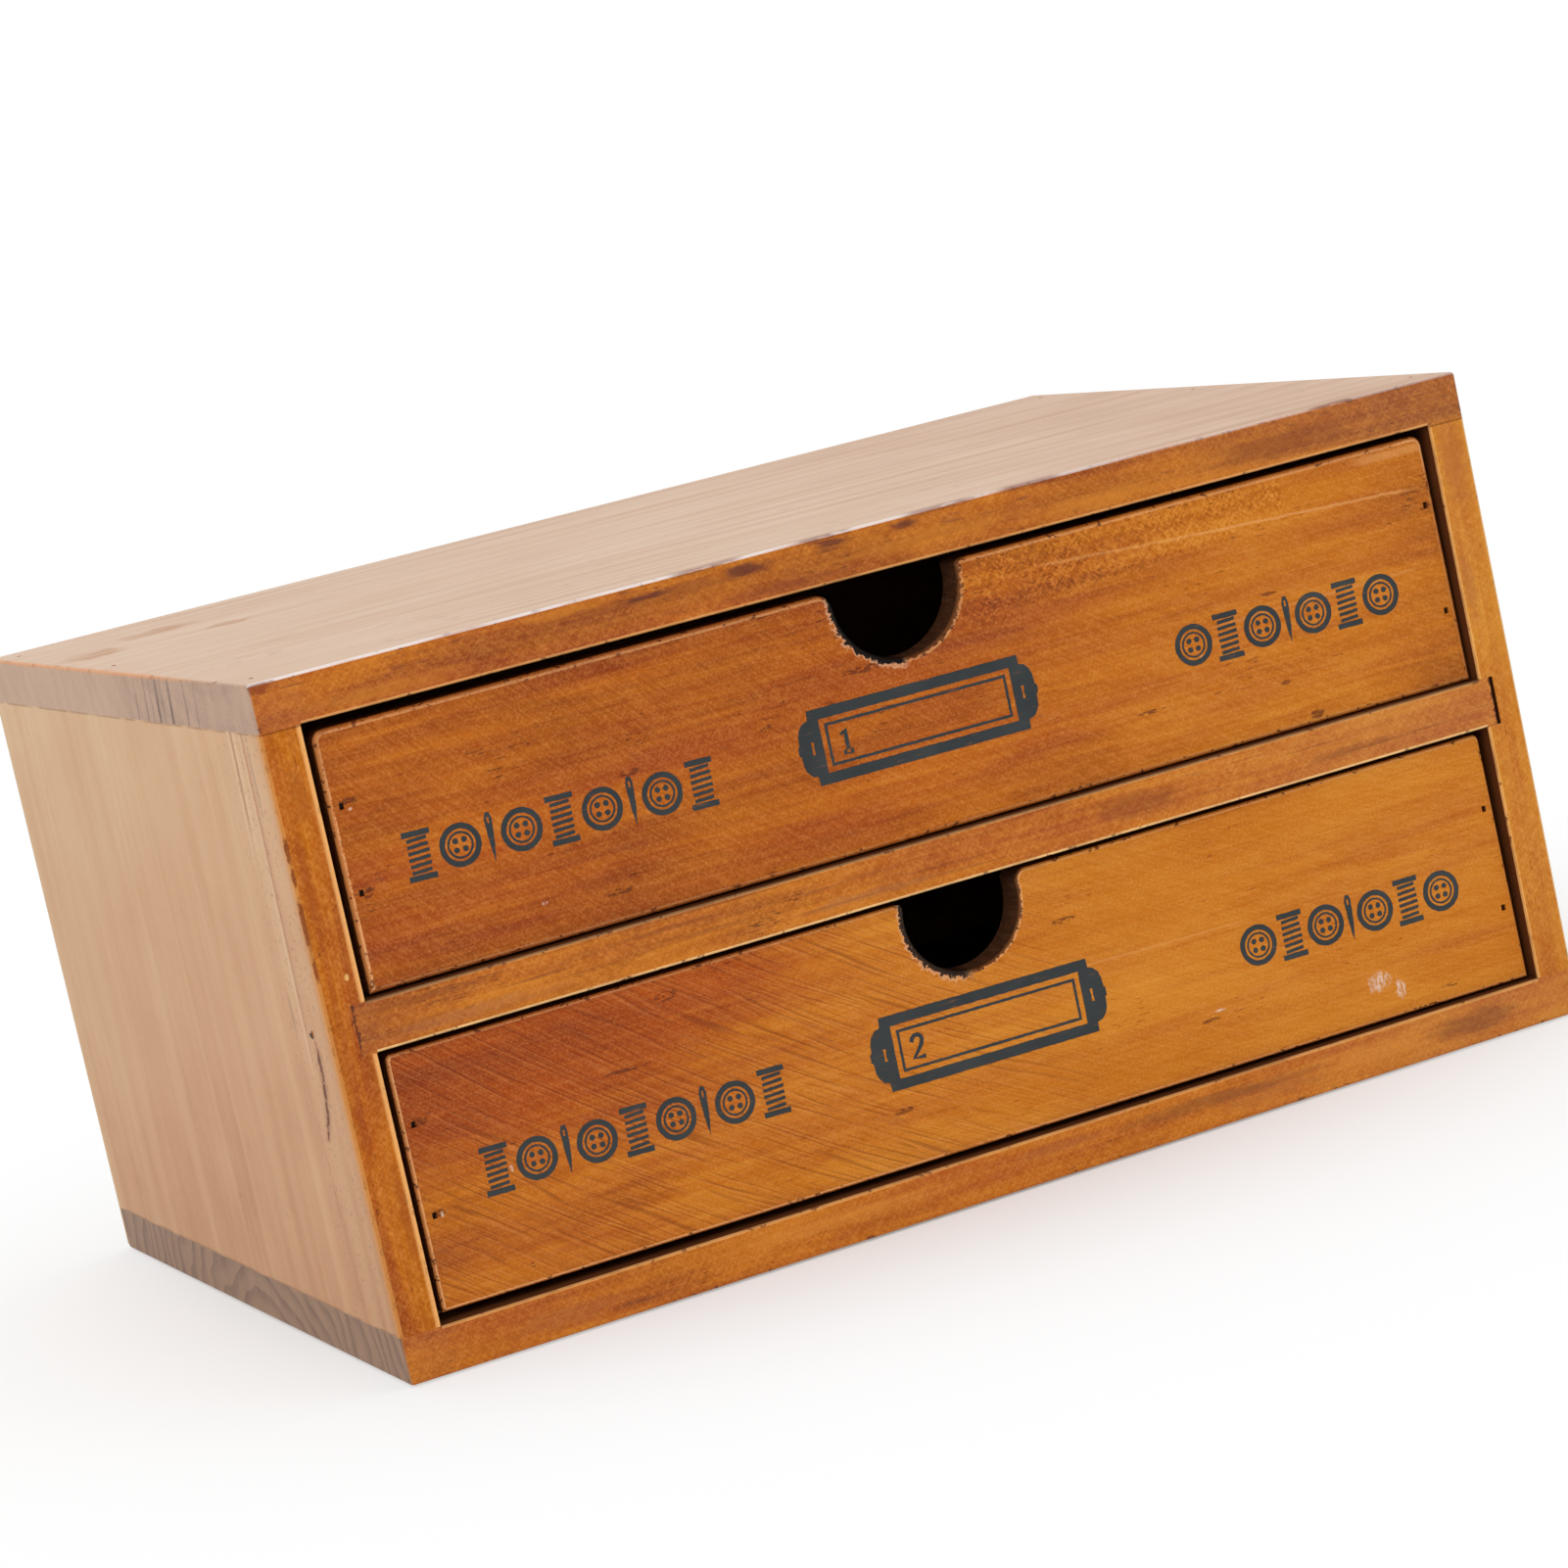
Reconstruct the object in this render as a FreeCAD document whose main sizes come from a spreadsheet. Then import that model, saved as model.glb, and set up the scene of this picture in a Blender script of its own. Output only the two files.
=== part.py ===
import FreeCAD, Part
import math
import os

import Sketcher
from FreeCAD import Vector

# Two-drawer wooden box for thread and haberdashery, in millimetres.
#
# Frame: origin at the middle of the underside, +X to the right of someone who faces the drawers,
# -Y towards them, +Z up. The top and bottom boards lie over and under the side boards, and a shelf let
# into dadoes parts two bare drawers. Everything is held with brads, whose heads are punched below the
# wood. Each piece is modelled from its own lower left front corner and then placed.

DIMENSIONS = [
    # alias, value, what it is
    ("case_width", 250.0, "outside width of the case"),
    ("case_depth", 187.0, "outside depth, with the back panel"),
    ("case_height", 129.0, "outside height"),
    ("board_thickness", 9.0, "top and bottom boards"),
    ("side_thickness", 8.0, "case side boards"),
    ("shelf_thickness", 9.5, "divider shelf"),
    ("shelf_level", 59.9, "underside of the shelf above the underside of the case"),
    ("dado_depth", 3.0, "depth of the dadoes that hold the shelf"),
    ("dado_gap", 0.8, "the shelf is cut this much short, which leaves a gap at its right end"),
    ("back_thickness", 3.0, "back panel, laid on behind"),
    ("back_inset", 0.5, "how far the back panel stays inside the case's outline"),
    ("outer_arris", 0.8, "rounding of the case's outer arrises"),
    ("opening_arris", 0.6, "rounding of the arrises round the drawer openings"),
    ("front_width", 231.6, "drawer front, at its lower edge"),
    ("front_thickness", 7.0, "drawer front"),
    ("front_recess", 2.0, "drawer fronts stand this far behind the case's front"),
    ("running_gap", 0.2, "drawer above the board that it slides on"),
    ("rear_gap", 0.5, "closed drawer to the back panel"),
    ("drawer_board", 5.0, "thickness of a drawer's sides"),
    ("drawer_back", 6.0, "thickness of a drawer's back"),
    ("drawer_side_height", 46.5, "height of a drawer's sides and back"),
    ("panel_thickness", 3.0, "drawer bottom"),
    ("groove_level", 3.5, "underside of the drawer bottom above the drawer's underside"),
    ("groove_depth", 2.5, "grooves for the drawer bottom"),
    ("groove_play", 0.1, "a groove is this much wider than its panel"),
    ("upper_shift", 0.7, "the upper drawer sits this far right of the middle"),
    ("lower_shift", 0.3, "the lower drawer sits this far right of the middle"),
    ("upper_left_lean", 0.1, "left edge of the upper front leans in by this much"),
    ("upper_right_lean", 0.6, "right edge of the upper front leans in by this much"),
    ("upper_left_foot", 0.3, "lower left corner of the upper front above the drawer's underside"),
    ("upper_right_foot", 0.0, "lower right corner of the upper front"),
    ("upper_left_crown", 48.3, "upper left corner of the upper front above the drawer's underside"),
    ("upper_right_crown", 49.0, "upper right corner of the upper front"),
    ("upper_finger_radius", 13.0, "finger cut-out of the upper front"),
    ("upper_finger_level", 46.4, "middle of that cut-out above the drawer's underside"),
    ("upper_corner", 2.2, "top corners of the upper front"),
    ("upper_left_lip", 3.0, "left of the cut-out, where it meets the front's top edge"),
    ("upper_right_lip", 1.2, "right of the cut-out"),
    ("upper_arris", 1.0, "rounding round the upper front's face"),
    ("lower_left_lean", 0.2, "left edge of the lower front leans in by this much"),
    ("lower_right_lean", 0.6, "right edge of the lower front leans in by this much"),
    ("lower_left_foot", 1.5, "lower left corner of the lower front above the drawer's underside"),
    ("lower_right_foot", 0.3, "lower right corner of the lower front"),
    ("lower_left_crown", 49.4, "upper left corner of the lower front above the drawer's underside"),
    ("lower_right_crown", 49.7, "upper right corner of the lower front"),
    ("lower_finger_radius", 12.0, "finger cut-out of the lower front"),
    ("lower_finger_level", 45.7, "middle of that cut-out above the drawer's underside"),
    ("lower_corner", 1.3, "top corners of the lower front"),
    ("lower_left_lip", 1.0, "left of the cut-out, where it meets the front's top edge"),
    ("lower_right_lip", 2.4, "right of the cut-out"),
    ("lower_arris", 0.7, "rounding round the lower front's face"),
    ("brad_thickness", 0.8, "flat wire that every brad is cut from"),
    ("brad_width", 0.9, "the wire's other side"),
    ("brad_play", 0.1, "a brad's hole is this much wider and thicker than the brad"),
    ("head_width", 1.1, "head of a brad, as thick as the wire"),
    ("head_height", 0.5, "head of a brad, along the shank"),
    ("head_sink", 1.0, "a case or front brad's head is punched this deep"),
    ("flush_sink", 0.1, "a brad's head in the thin boards is this deep"),
    ("point_length", 1.2, "point of a brad"),
    ("point_taper", 0.3, "how far each side of the point tapers in"),
    ("long_brad", 20.0, "brads of the case"),
    ("front_brad", 18.0, "brads of the drawer fronts"),
    ("short_brad", 12.0, "brads of the back panel and drawer bottoms"),
    ("brad_front_inset", 10.0, "first brad behind the front edge of a board"),
    ("brad_middle_inset", 100.0, "middle brad behind the front edge"),
    ("brad_rear_inset", 173.0, "last brad behind the front edge"),
    ("upper_left_high", 34.2, "upper left brad of the upper front above the drawer's underside"),
    ("upper_left_low", 18.3, "lower left brad of the upper front"),
    ("upper_right_high", 35.4, "upper right brad of the upper front"),
    ("upper_right_low", 14.4, "lower right brad of the upper front"),
    ("lower_left_high", 36.0, "upper left brad of the lower front"),
    ("lower_left_low", 19.0, "lower left brad of the lower front"),
    ("lower_right_high", 35.0, "upper right brad of the lower front"),
    ("lower_right_low", 15.0, "lower right brad of the lower front"),
    ("back_brad_low", 15.0, "lower brads of a drawer's back"),
    ("back_brad_high", 37.0, "upper brads of a drawer's back"),
    ("bottom_brad_spread", 80.0, "outer brads of a drawer bottom either side of its middle"),
    ("bottom_brad_inner", 27.0, "inner brads of a drawer bottom either side of its middle"),
    ("panel_brad_spread", 95.0, "outer brads of the back panel either side of its middle"),
    ("panel_brad_rise", 28.0, "side brads of the back panel above and below mid-height"),
]

# Lengths that follow from the driving ones, as expressions.
BOARD_DEPTH = "(dims.case_depth - dims.back_thickness)"
SIDE_HEIGHT = "(dims.case_height - 2 * dims.board_thickness)"
OPENING_WIDTH = "(dims.case_width - 2 * dims.side_thickness)"
SHELF_WIDTH = f"({OPENING_WIDTH} + 2 * dims.dado_depth - dims.dado_gap)"
DRAWER_DEPTH = f"({BOARD_DEPTH} - dims.front_recess - dims.rear_gap)"
DRAWER_SIDE_LENGTH = f"({DRAWER_DEPTH} - dims.front_thickness)"
DRAWER_BACK_WIDTH = "(dims.front_width - 2 * dims.drawer_board)"
GROOVE_HEIGHT = "(dims.panel_thickness + dims.groove_play)"
PANEL_TOP = "(dims.groove_level + dims.panel_thickness)"
PANEL_TONGUE = "(dims.groove_depth - dims.groove_play)"
PANEL_WIDTH = f"({DRAWER_BACK_WIDTH} + 2 * {PANEL_TONGUE})"
PANEL_LENGTH = f"({DRAWER_SIDE_LENGTH} + {PANEL_TONGUE})"
BACK_PANEL_WIDTH = "(dims.case_width - 2 * dims.back_inset)"
BACK_PANEL_HEIGHT = "(dims.case_height - 2 * dims.back_inset)"
POINT_ANGLE = "atan(dims.point_taper / dims.point_length)"
HOLE_THICKNESS = "(dims.brad_thickness + dims.brad_play)"
BRAD_INSETS = ("dims.brad_front_inset", "dims.brad_middle_inset", "dims.brad_rear_inset")
LEFT_BRAD_LINE = "dims.side_thickness / 2"
RIGHT_BRAD_LINE = "(dims.case_width - dims.side_thickness / 2)"
CASE_LEFT = "-dims.case_width / 2"
CASE_FRONT = "-dims.case_depth / 2"

SAME_PLACE = 1e-4
VOLUME_CHANGE = 1e-3

os.makedirs("parts", exist_ok=True)
doc = FreeCAD.newDocument("thread_drawer_box")
sheet = doc.addObject("Spreadsheet::Sheet", "dims")
for line, (alias, size, meaning) in enumerate(DIMENSIONS, start=1):
    sheet.set(f"A{line}", meaning)
    sheet.set(f"B{line}", str(size))
    sheet.setAlias(f"B{line}", alias)
doc.recompute()

pieces = []


def value(expression):
    """The number that an expression gives at present."""
    result = sheet.evalExpression(expression)
    return float(getattr(result, "Value", result))


def new_piece(label, left, front, low):
    """A body whose own origin, its lower left front corner, stands at the given place."""
    body = doc.addObject("PartDesign::Body", label)
    body.Label = label
    body.AllowCompound = True
    for axis, expression in zip("xyz", (left, front, low)):
        body.setExpression(f"Placement.Base.{axis}", expression)
    pieces.append(body)
    return body


def new_sketch(body, name, role, offset="0"):
    """A sketch on one of the body's own origin planes, moved along the plane's normal."""
    planes = {feature.Role: feature for feature in body.Origin.OriginFeatures}
    sketch = body.newObject("Sketcher::SketchObject", f"{body.Label}_{name}")
    sketch.AttachmentSupport = [(planes[role], "")]
    sketch.MapMode = "FlatFace"
    sketch.setExpression("AttachmentOffset.Base.z", offset)
    return sketch


def pin_point(sketch, geometry, point, across, up):
    """Fix a point of the sketch at (across, up), which are expressions."""
    for kind, expression in (("DistanceX", across), ("DistanceY", up)):
        distance = Sketcher.Constraint(kind, -1, 1, geometry, point, value(expression))
        number = sketch.addConstraint(distance)
        sketch.setExpression(f"Constraints[{number}]", expression)


def draw_polygon(sketch, corners):
    """A closed polygon through corners, each a pair of expressions."""
    points = [Vector(value(across), value(up), 0) for across, up in corners]
    count = len(points)
    lines = [sketch.addGeometry(Part.LineSegment(point, points[(index + 1) % count]), False)
             for index, point in enumerate(points)]
    for index, line in enumerate(lines):
        sketch.addConstraint(Sketcher.Constraint("Coincident", line, 2, lines[(index + 1) % count], 1))
    for line, (across, up) in zip(lines, corners):
        pin_point(sketch, line, 1, across, up)


def draw_rectangle(sketch, left, low, width, height):
    """A rectangle from its lower left corner."""
    right = f"{left} + {width}"
    high = f"{low} + {height}"
    draw_polygon(sketch, [(left, low), (right, low), (right, high), (left, high)])


def draw_slots(sketch, centres, across, up):
    """A small rectangle, across by up, around each centre."""
    for middle, level in centres:
        draw_rectangle(sketch, f"{middle} - ({across}) / 2", f"{level} - ({up}) / 2", across, up)


def set_radius(sketch, geometry, radius):
    """Give a circle or an arc of the sketch its radius, an expression."""
    number = sketch.addConstraint(Sketcher.Constraint("Radius", geometry, value(radius)))
    sketch.setExpression(f"Constraints[{number}]", radius)


def draw_circle(sketch, across, up, radius):
    """A circle round the point (across, up)."""
    middle = Vector(value(across), value(up), 0)
    circle = sketch.addGeometry(Part.Circle(middle, Vector(0, 0, 1), value(radius)), False)
    pin_point(sketch, circle, 3, across, up)
    set_radius(sketch, circle, radius)


def draw_arris_waste(sketch, level, radius, way):
    """The corner at (0, level) outside a quarter circle; the wood lies above it for way 1, below for -1."""
    size = value(radius)
    corner = Vector(0, value(level), 0)
    inward = corner + Vector(size, 0, 0)
    along = corner + Vector(0, way * size, 0)
    circle = Part.Circle(corner + Vector(size, way * size, 0), Vector(0, 0, 1), size)
    first = math.pi if way > 0 else math.pi / 2
    arc = sketch.addGeometry(Part.ArcOfCircle(circle, first, first + math.pi / 2), False)
    under = sketch.addGeometry(Part.LineSegment(corner, inward), False)
    face = sketch.addGeometry(Part.LineSegment(along, corner), False)
    arc_inward, arc_along = (2, 1) if way > 0 else (1, 2)
    for first_line, end, second_line, start in ((under, 2, arc, arc_inward), (arc, arc_along, face, 1),
                                                (face, 2, under, 1)):
        sketch.addConstraint(Sketcher.Constraint("Coincident", first_line, end, second_line, start))
    pin_point(sketch, under, 1, "0", level)
    pin_point(sketch, under, 2, radius, level)
    pin_point(sketch, face, 1, "0", f"{level} + {way} * {radius}")
    set_radius(sketch, arc, radius)


def solid_volume(body):
    """Volume of the body so far, 0 before its first feature."""
    return body.Tip.Shape.Volume if body.Tip and not body.Tip.Shape.isNull() else 0.0


def extrude(body, kind, sketch, length, along_normal=True):
    """A pad or a pocket of the sketch, along its plane's normal or against it."""
    before = solid_volume(body)
    feature = body.newObject(f"PartDesign::{kind}", f"{sketch.Label}_{kind.lower()}")
    feature.Profile = sketch
    feature.setExpression("Length", length)
    feature.Reversed = (kind == "Pocket") == along_normal
    doc.recompute()
    change = feature.Shape.Volume - before
    if change * (1 if kind == "Pad" else -1) < VOLUME_CHANGE:
        raise RuntimeError(f"{feature.Label} changes nothing")
    return feature


def round_edges(body, name, radius, chosen):
    """Round the edges of the body so far that the chosen test picks."""
    base = body.Tip
    names = [f"Edge{number}" for number, edge in enumerate(base.Shape.Edges, start=1) if chosen(edge)]
    if not names:
        raise RuntimeError(f"{body.Label}: no edge to round for {name}")
    fillet = body.newObject("PartDesign::Fillet", f"{body.Label}_{name}")
    fillet.Base = (base, names)
    fillet.setExpression("Radius", radius)
    doc.recompute()
    return fillet


def runs_along(edge, axis):
    """Whether a straight edge runs along the axis x, y or z."""
    box = edge.BoundBox
    spans = {"x": box.XLength, "y": box.YLength, "z": box.ZLength}
    return all((span > SAME_PLACE) == (name == axis) for name, span in spans.items())


def lies_at(edge, axis, place):
    """Whether all of an edge has the coordinate place along the axis."""
    box = edge.BoundBox
    low = getattr(box, axis.upper() + "Min")
    high = getattr(box, axis.upper() + "Max")
    return abs(low - place) < SAME_PLACE and abs(high - place) < SAME_PLACE


def is_upright_front(edge):
    """Whether an edge is an upright arris at the front of its piece."""
    return runs_along(edge, "z") and lies_at(edge, "y", 0.0)


def round_at_opening(body, name, level, way, start):
    """Round a level front arris between the side boards only. start is the left side board's inner face."""
    waste = new_sketch(body, name, "YZ_Plane", start)
    draw_arris_waste(waste, level, "dims.opening_arris", way)
    extrude(body, "Pocket", waste, OPENING_WIDTH)


def board(label, place, size):
    """A plain board, drawn on the ground plane and padded up."""
    body = new_piece(label, *place)
    width, depth, height = size
    sketch = new_sketch(body, "plan", "XY_Plane")
    draw_rectangle(sketch, "0", "0", width, depth)
    extrude(body, "Pad", sketch, height)
    return body


def brad_holes(body, name, role, face, along_normal, centres, depth, sink=None):
    """Slots that brads have cut in from a face of the body, wider where a head went in."""
    bore = new_sketch(body, f"{name}_bores", role, face)
    draw_slots(bore, centres, HOLE_THICKNESS, "dims.brad_width + dims.brad_play")
    extrude(body, "Pocket", bore, depth, along_normal)
    if sink:
        seat = new_sketch(body, f"{name}_seats", role, face)
        draw_slots(seat, centres, HOLE_THICKNESS, "dims.head_width + dims.brad_play")
        extrude(body, "Pocket", seat, f"{sink} + dims.head_height", along_normal)


def brads(body, name, role, face, along_normal, centres, length, sink):
    """Brads driven in from a face: a head below the face, a flat shank and a tapered point."""
    way = 1 if along_normal else -1
    head_top = f"{face} + {way} * {sink}"
    shank_top = f"{head_top} + {way} * dims.head_height"
    tip = f"{head_top} + {way} * {length}"
    shank_length = f"{length} - dims.head_height - dims.point_length"

    head = new_sketch(body, f"{name}_head", role, head_top)
    draw_slots(head, centres, "dims.brad_thickness", "dims.head_width")
    extrude(body, "Pad", head, "dims.head_height", along_normal)
    shank = new_sketch(body, f"{name}_shank", role, shank_top)
    draw_slots(shank, centres, "dims.brad_thickness", "dims.brad_width")
    extrude(body, "Pad", shank, shank_length, along_normal)
    point = new_sketch(body, f"{name}_point", role, tip)
    draw_slots(point, centres, "dims.brad_thickness - 2 * dims.point_taper",
               "dims.brad_width - 2 * dims.point_taper")
    wedge = extrude(body, "Pad", point, "dims.point_length", not along_normal)
    wedge.setExpression("TaperAngle", POINT_ANGLE)


def reach(length, board_passed, sink):
    """Depth that a brad goes into the second board, with room for its point."""
    return f"{length} + {sink} - {board_passed} + dims.brad_play"


def case_brad_grid():
    """Where the top and bottom boards are bradded to the sides, from their front left corner."""
    return [(line, inset) for line in (LEFT_BRAD_LINE, RIGHT_BRAD_LINE) for inset in BRAD_INSETS]


def top_and_bottom_boards():
    """The boards over and under the sides. Their end grain shows at both ends."""
    top_level = "dims.case_height - dims.board_thickness"
    size = ("dims.case_width", BOARD_DEPTH, "dims.board_thickness")
    boards = (
        ("top_board", top_level, "dims.board_thickness", "0", False),
        ("bottom_board", "0", "0", "dims.board_thickness", True),
    )
    for label, level, face, inner, upwards in boards:
        body = board(label, (CASE_LEFT, CASE_FRONT, level), size)
        outer = value(face)
        round_edges(body, "outer", "dims.outer_arris",
                    lambda edge: lies_at(edge, "z", outer) or is_upright_front(edge))
        round_at_opening(body, "opening", inner, -1 if upwards else 1, "dims.side_thickness")
        brad_holes(body, "case", "XY_Plane", face, upwards, case_brad_grid(), "dims.board_thickness",
                   "dims.head_sink")
        group = new_piece(f"{label}_brads", CASE_LEFT, CASE_FRONT, level)
        brads(group, "case", "XY_Plane", face, upwards, case_brad_grid(), "dims.long_brad", "dims.head_sink")


def side_boards():
    """The upright boards, each with a through dado for the shelf and bores for the brads."""
    depth_in = reach("dims.long_brad", "dims.board_thickness", "dims.head_sink")
    shelf_middle = "(dims.shelf_level + dims.shelf_thickness / 2 - dims.board_thickness)"
    line = [(LEFT_BRAD_LINE, inset) for inset in BRAD_INSETS]
    thickness = value("dims.side_thickness")
    sides = (
        ("left_side_board", CASE_LEFT, "dims.side_thickness", False, thickness, "0"),
        ("right_side_board", "dims.case_width / 2 - dims.side_thickness", "0", True, 0.0,
         "dims.side_thickness"),
    )
    for label, left, inner_face, rightwards, inner, outer_face in sides:
        place = (left, CASE_FRONT, "dims.board_thickness")
        body = board(label, place, ("dims.side_thickness", BOARD_DEPTH, SIDE_HEIGHT))
        round_edges(body, "opening", "dims.opening_arris",
                    lambda edge: is_upright_front(edge) and lies_at(edge, "x", inner))
        round_edges(body, "outer", "dims.outer_arris",
                    lambda edge: is_upright_front(edge) and lies_at(edge, "x", thickness - inner))
        dado = new_sketch(body, "dado", "YZ_Plane", inner_face)
        draw_rectangle(dado, "0", "dims.shelf_level - dims.board_thickness", BOARD_DEPTH,
                       "dims.shelf_thickness")
        extrude(body, "Pocket", dado, "dims.dado_depth", rightwards)
        brad_holes(body, "top", "XY_Plane", SIDE_HEIGHT, False, line, depth_in)
        brad_holes(body, "bottom", "XY_Plane", "0", True, line, depth_in)
        brad_holes(body, "shelf", "YZ_Plane", outer_face, not rightwards,
                   [("dims.brad_front_inset", shelf_middle)], "dims.side_thickness", "dims.head_sink")


def divider_shelf():
    """The shelf between the drawers. Its right end stops short of the bottom of its dado."""
    shelf_left = "-dims.case_width / 2 + dims.side_thickness - dims.dado_depth"
    body = board("divider_shelf", (shelf_left, CASE_FRONT, "dims.shelf_level"),
                 (SHELF_WIDTH, BOARD_DEPTH, "dims.shelf_thickness"))
    passed = "(dims.side_thickness - dims.dado_depth)"
    middle = [("dims.brad_front_inset", "dims.shelf_thickness / 2")]
    depth_in = reach("dims.long_brad", passed, "dims.head_sink")
    round_at_opening(body, "lower_opening", "0", 1, "dims.dado_depth")
    round_at_opening(body, "upper_opening", "dims.shelf_thickness", -1, "dims.dado_depth")
    brad_holes(body, "left", "YZ_Plane", "0", True, middle, depth_in)
    brad_holes(body, "right", "YZ_Plane", SHELF_WIDTH, False, middle, depth_in)
    group = new_piece("divider_brads", CASE_LEFT, CASE_FRONT, "dims.shelf_level")
    for name, face, rightwards in (("left", "0", True), ("right", "dims.case_width", False)):
        brads(group, name, "YZ_Plane", face, rightwards, middle, "dims.long_brad", "dims.head_sink")


def back_panel_sites():
    """Brads of the back panel: three along the top and bottom edges, two up each side."""
    middle = f"{BACK_PANEL_WIDTH} / 2"
    half_height = f"{BACK_PANEL_HEIGHT} / 2"
    edge_rows = ("dims.board_thickness / 2 - dims.back_inset",
                 f"{BACK_PANEL_HEIGHT} - dims.board_thickness / 2 + dims.back_inset")
    columns = (f"{middle} - dims.panel_brad_spread", middle, f"{middle} + dims.panel_brad_spread")
    side_lines = ("dims.side_thickness / 2 - dims.back_inset",
                  f"{BACK_PANEL_WIDTH} - dims.side_thickness / 2 + dims.back_inset")
    side_rows = (f"{half_height} - dims.panel_brad_rise", f"{half_height} + dims.panel_brad_rise")
    sites = [(column, row) for row in edge_rows for column in columns]
    return sites + [(line, row) for line in side_lines for row in side_rows]


def bore_case_for_back_panel():
    """Bores for the back panel's brads in the back edges of the four outer boards."""
    depth_in = reach("dims.short_brad", "dims.back_thickness", "dims.flush_sink")
    edge_middle = "dims.board_thickness / 2"
    columns = [("dims.case_width / 2 - dims.panel_brad_spread", edge_middle),
               ("dims.case_width / 2", edge_middle),
               ("dims.case_width / 2 + dims.panel_brad_spread", edge_middle)]
    rows = [(LEFT_BRAD_LINE, f"{SIDE_HEIGHT} / 2 - dims.panel_brad_rise"),
            (LEFT_BRAD_LINE, f"{SIDE_HEIGHT} / 2 + dims.panel_brad_rise")]
    sites = {"top_board": columns, "bottom_board": columns, "left_side_board": rows, "right_side_board": rows}
    for body in [piece for piece in pieces if piece.Label in sites]:
        brad_holes(body, "back", "XZ_Plane", f"-{BOARD_DEPTH}", True, sites[body.Label], depth_in)


def back_panel():
    """The thin panel laid on the back edges of the case."""
    left = f"{CASE_LEFT} + dims.back_inset"
    front = "dims.case_depth / 2 - dims.back_thickness"
    body = board("back_panel", (left, front, "dims.back_inset"),
                 (BACK_PANEL_WIDTH, "dims.back_thickness", BACK_PANEL_HEIGHT))
    brad_holes(body, "back", "XZ_Plane", "-dims.back_thickness", True, back_panel_sites(),
               "dims.back_thickness", "dims.flush_sink")
    group = new_piece("back_panel_brads", left, front, "dims.back_inset")
    brads(group, "back", "XZ_Plane", "-dims.back_thickness", True, back_panel_sites(), "dims.short_brad",
          "dims.flush_sink")


def drawer_front(name, place):
    """A drawer front: hand-cut outline, finger cut-out, stopped groove for the bottom."""
    body = new_piece(f"{name}_front", *place)
    outline = new_sketch(body, "outline", "XZ_Plane")
    draw_polygon(outline, [
        ("0", f"dims.{name}_left_foot"),
        ("dims.front_width", f"dims.{name}_right_foot"),
        (f"dims.front_width - dims.{name}_right_lean", f"dims.{name}_right_crown"),
        (f"dims.{name}_left_lean", f"dims.{name}_left_crown"),
    ])
    extrude(body, "Pad", outline, "dims.front_thickness", False)

    side_top = value("dims.drawer_side_height")
    round_edges(body, "corners", f"dims.{name}_corner",
                lambda edge: runs_along(edge, "y") and edge.BoundBox.ZMin > side_top)

    finger = new_sketch(body, "finger", "XZ_Plane")
    draw_circle(finger, "dims.front_width / 2", f"dims.{name}_finger_level", f"dims.{name}_finger_radius")
    extrude(body, "Pocket", finger, "dims.front_thickness", False)
    middle = value("dims.front_width / 2")
    reached = value(f"dims.{name}_finger_radius") + SAME_PLACE
    for side, way in (("left", -1), ("right", 1)):
        round_edges(body, f"{side}_lip", f"dims.{name}_{side}_lip",
                    lambda edge: runs_along(edge, "y") and 0 < way * (edge.BoundBox.XMin - middle) < reached)
    round_edges(body, "face", f"dims.{name}_arris", lambda edge: lies_at(edge, "y", 0.0))

    groove = new_sketch(body, "groove", "XZ_Plane", "-dims.front_thickness")
    groove_left = "dims.drawer_board - dims.groove_depth"
    draw_rectangle(groove, f"({groove_left})", "dims.groove_level", f"dims.front_width - 2 * ({groove_left})",
                   GROOVE_HEIGHT)
    extrude(body, "Pocket", groove, "dims.groove_depth", True)
    brad_holes(body, "front", "XZ_Plane", "0", False, front_brad_sites(name), "dims.front_thickness",
               "dims.head_sink")


def front_brad_sites(name):
    """The four brads of a front, driven by hand along the middle lines of the drawer's sides."""
    lines = {"left": "dims.drawer_board / 2", "right": "(dims.front_width - dims.drawer_board / 2)"}
    return [(line, f"dims.{name}_{side}_{level}")
            for side, line in lines.items() for level in ("high", "low")]


def drawer_side(name, side, place):
    """A drawer side: grooved inside for the bottom, bored for the front's and the back's brads."""
    body = board(f"{name}_{side}_side", place,
                 ("dims.drawer_board", DRAWER_SIDE_LENGTH, "dims.drawer_side_height"))
    on_left = side == "left"
    inner_face = "dims.drawer_board" if on_left else "0"
    outer_face = "0" if on_left else "dims.drawer_board"
    groove = new_sketch(body, "groove", "YZ_Plane", inner_face)
    draw_rectangle(groove, "0", "dims.groove_level", DRAWER_SIDE_LENGTH, GROOVE_HEIGHT)
    extrude(body, "Pocket", groove, "dims.groove_depth", not on_left)
    ends = [("dims.drawer_board / 2", f"dims.{name}_{side}_{level}") for level in ("high", "low")]
    brad_holes(body, "front", "XZ_Plane", "0", False, ends,
               reach("dims.front_brad", "dims.front_thickness", "dims.head_sink"))
    brad_holes(body, "back", "YZ_Plane", outer_face, on_left, back_brad_sites(), "dims.drawer_board",
               "dims.flush_sink")


def back_brad_sites():
    """The two brads at each end of a drawer's back, seen on the outside of its sides."""
    along = f"({DRAWER_SIDE_LENGTH} - dims.drawer_back / 2)"
    return [(along, "dims.back_brad_low"), (along, "dims.back_brad_high")]


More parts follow.
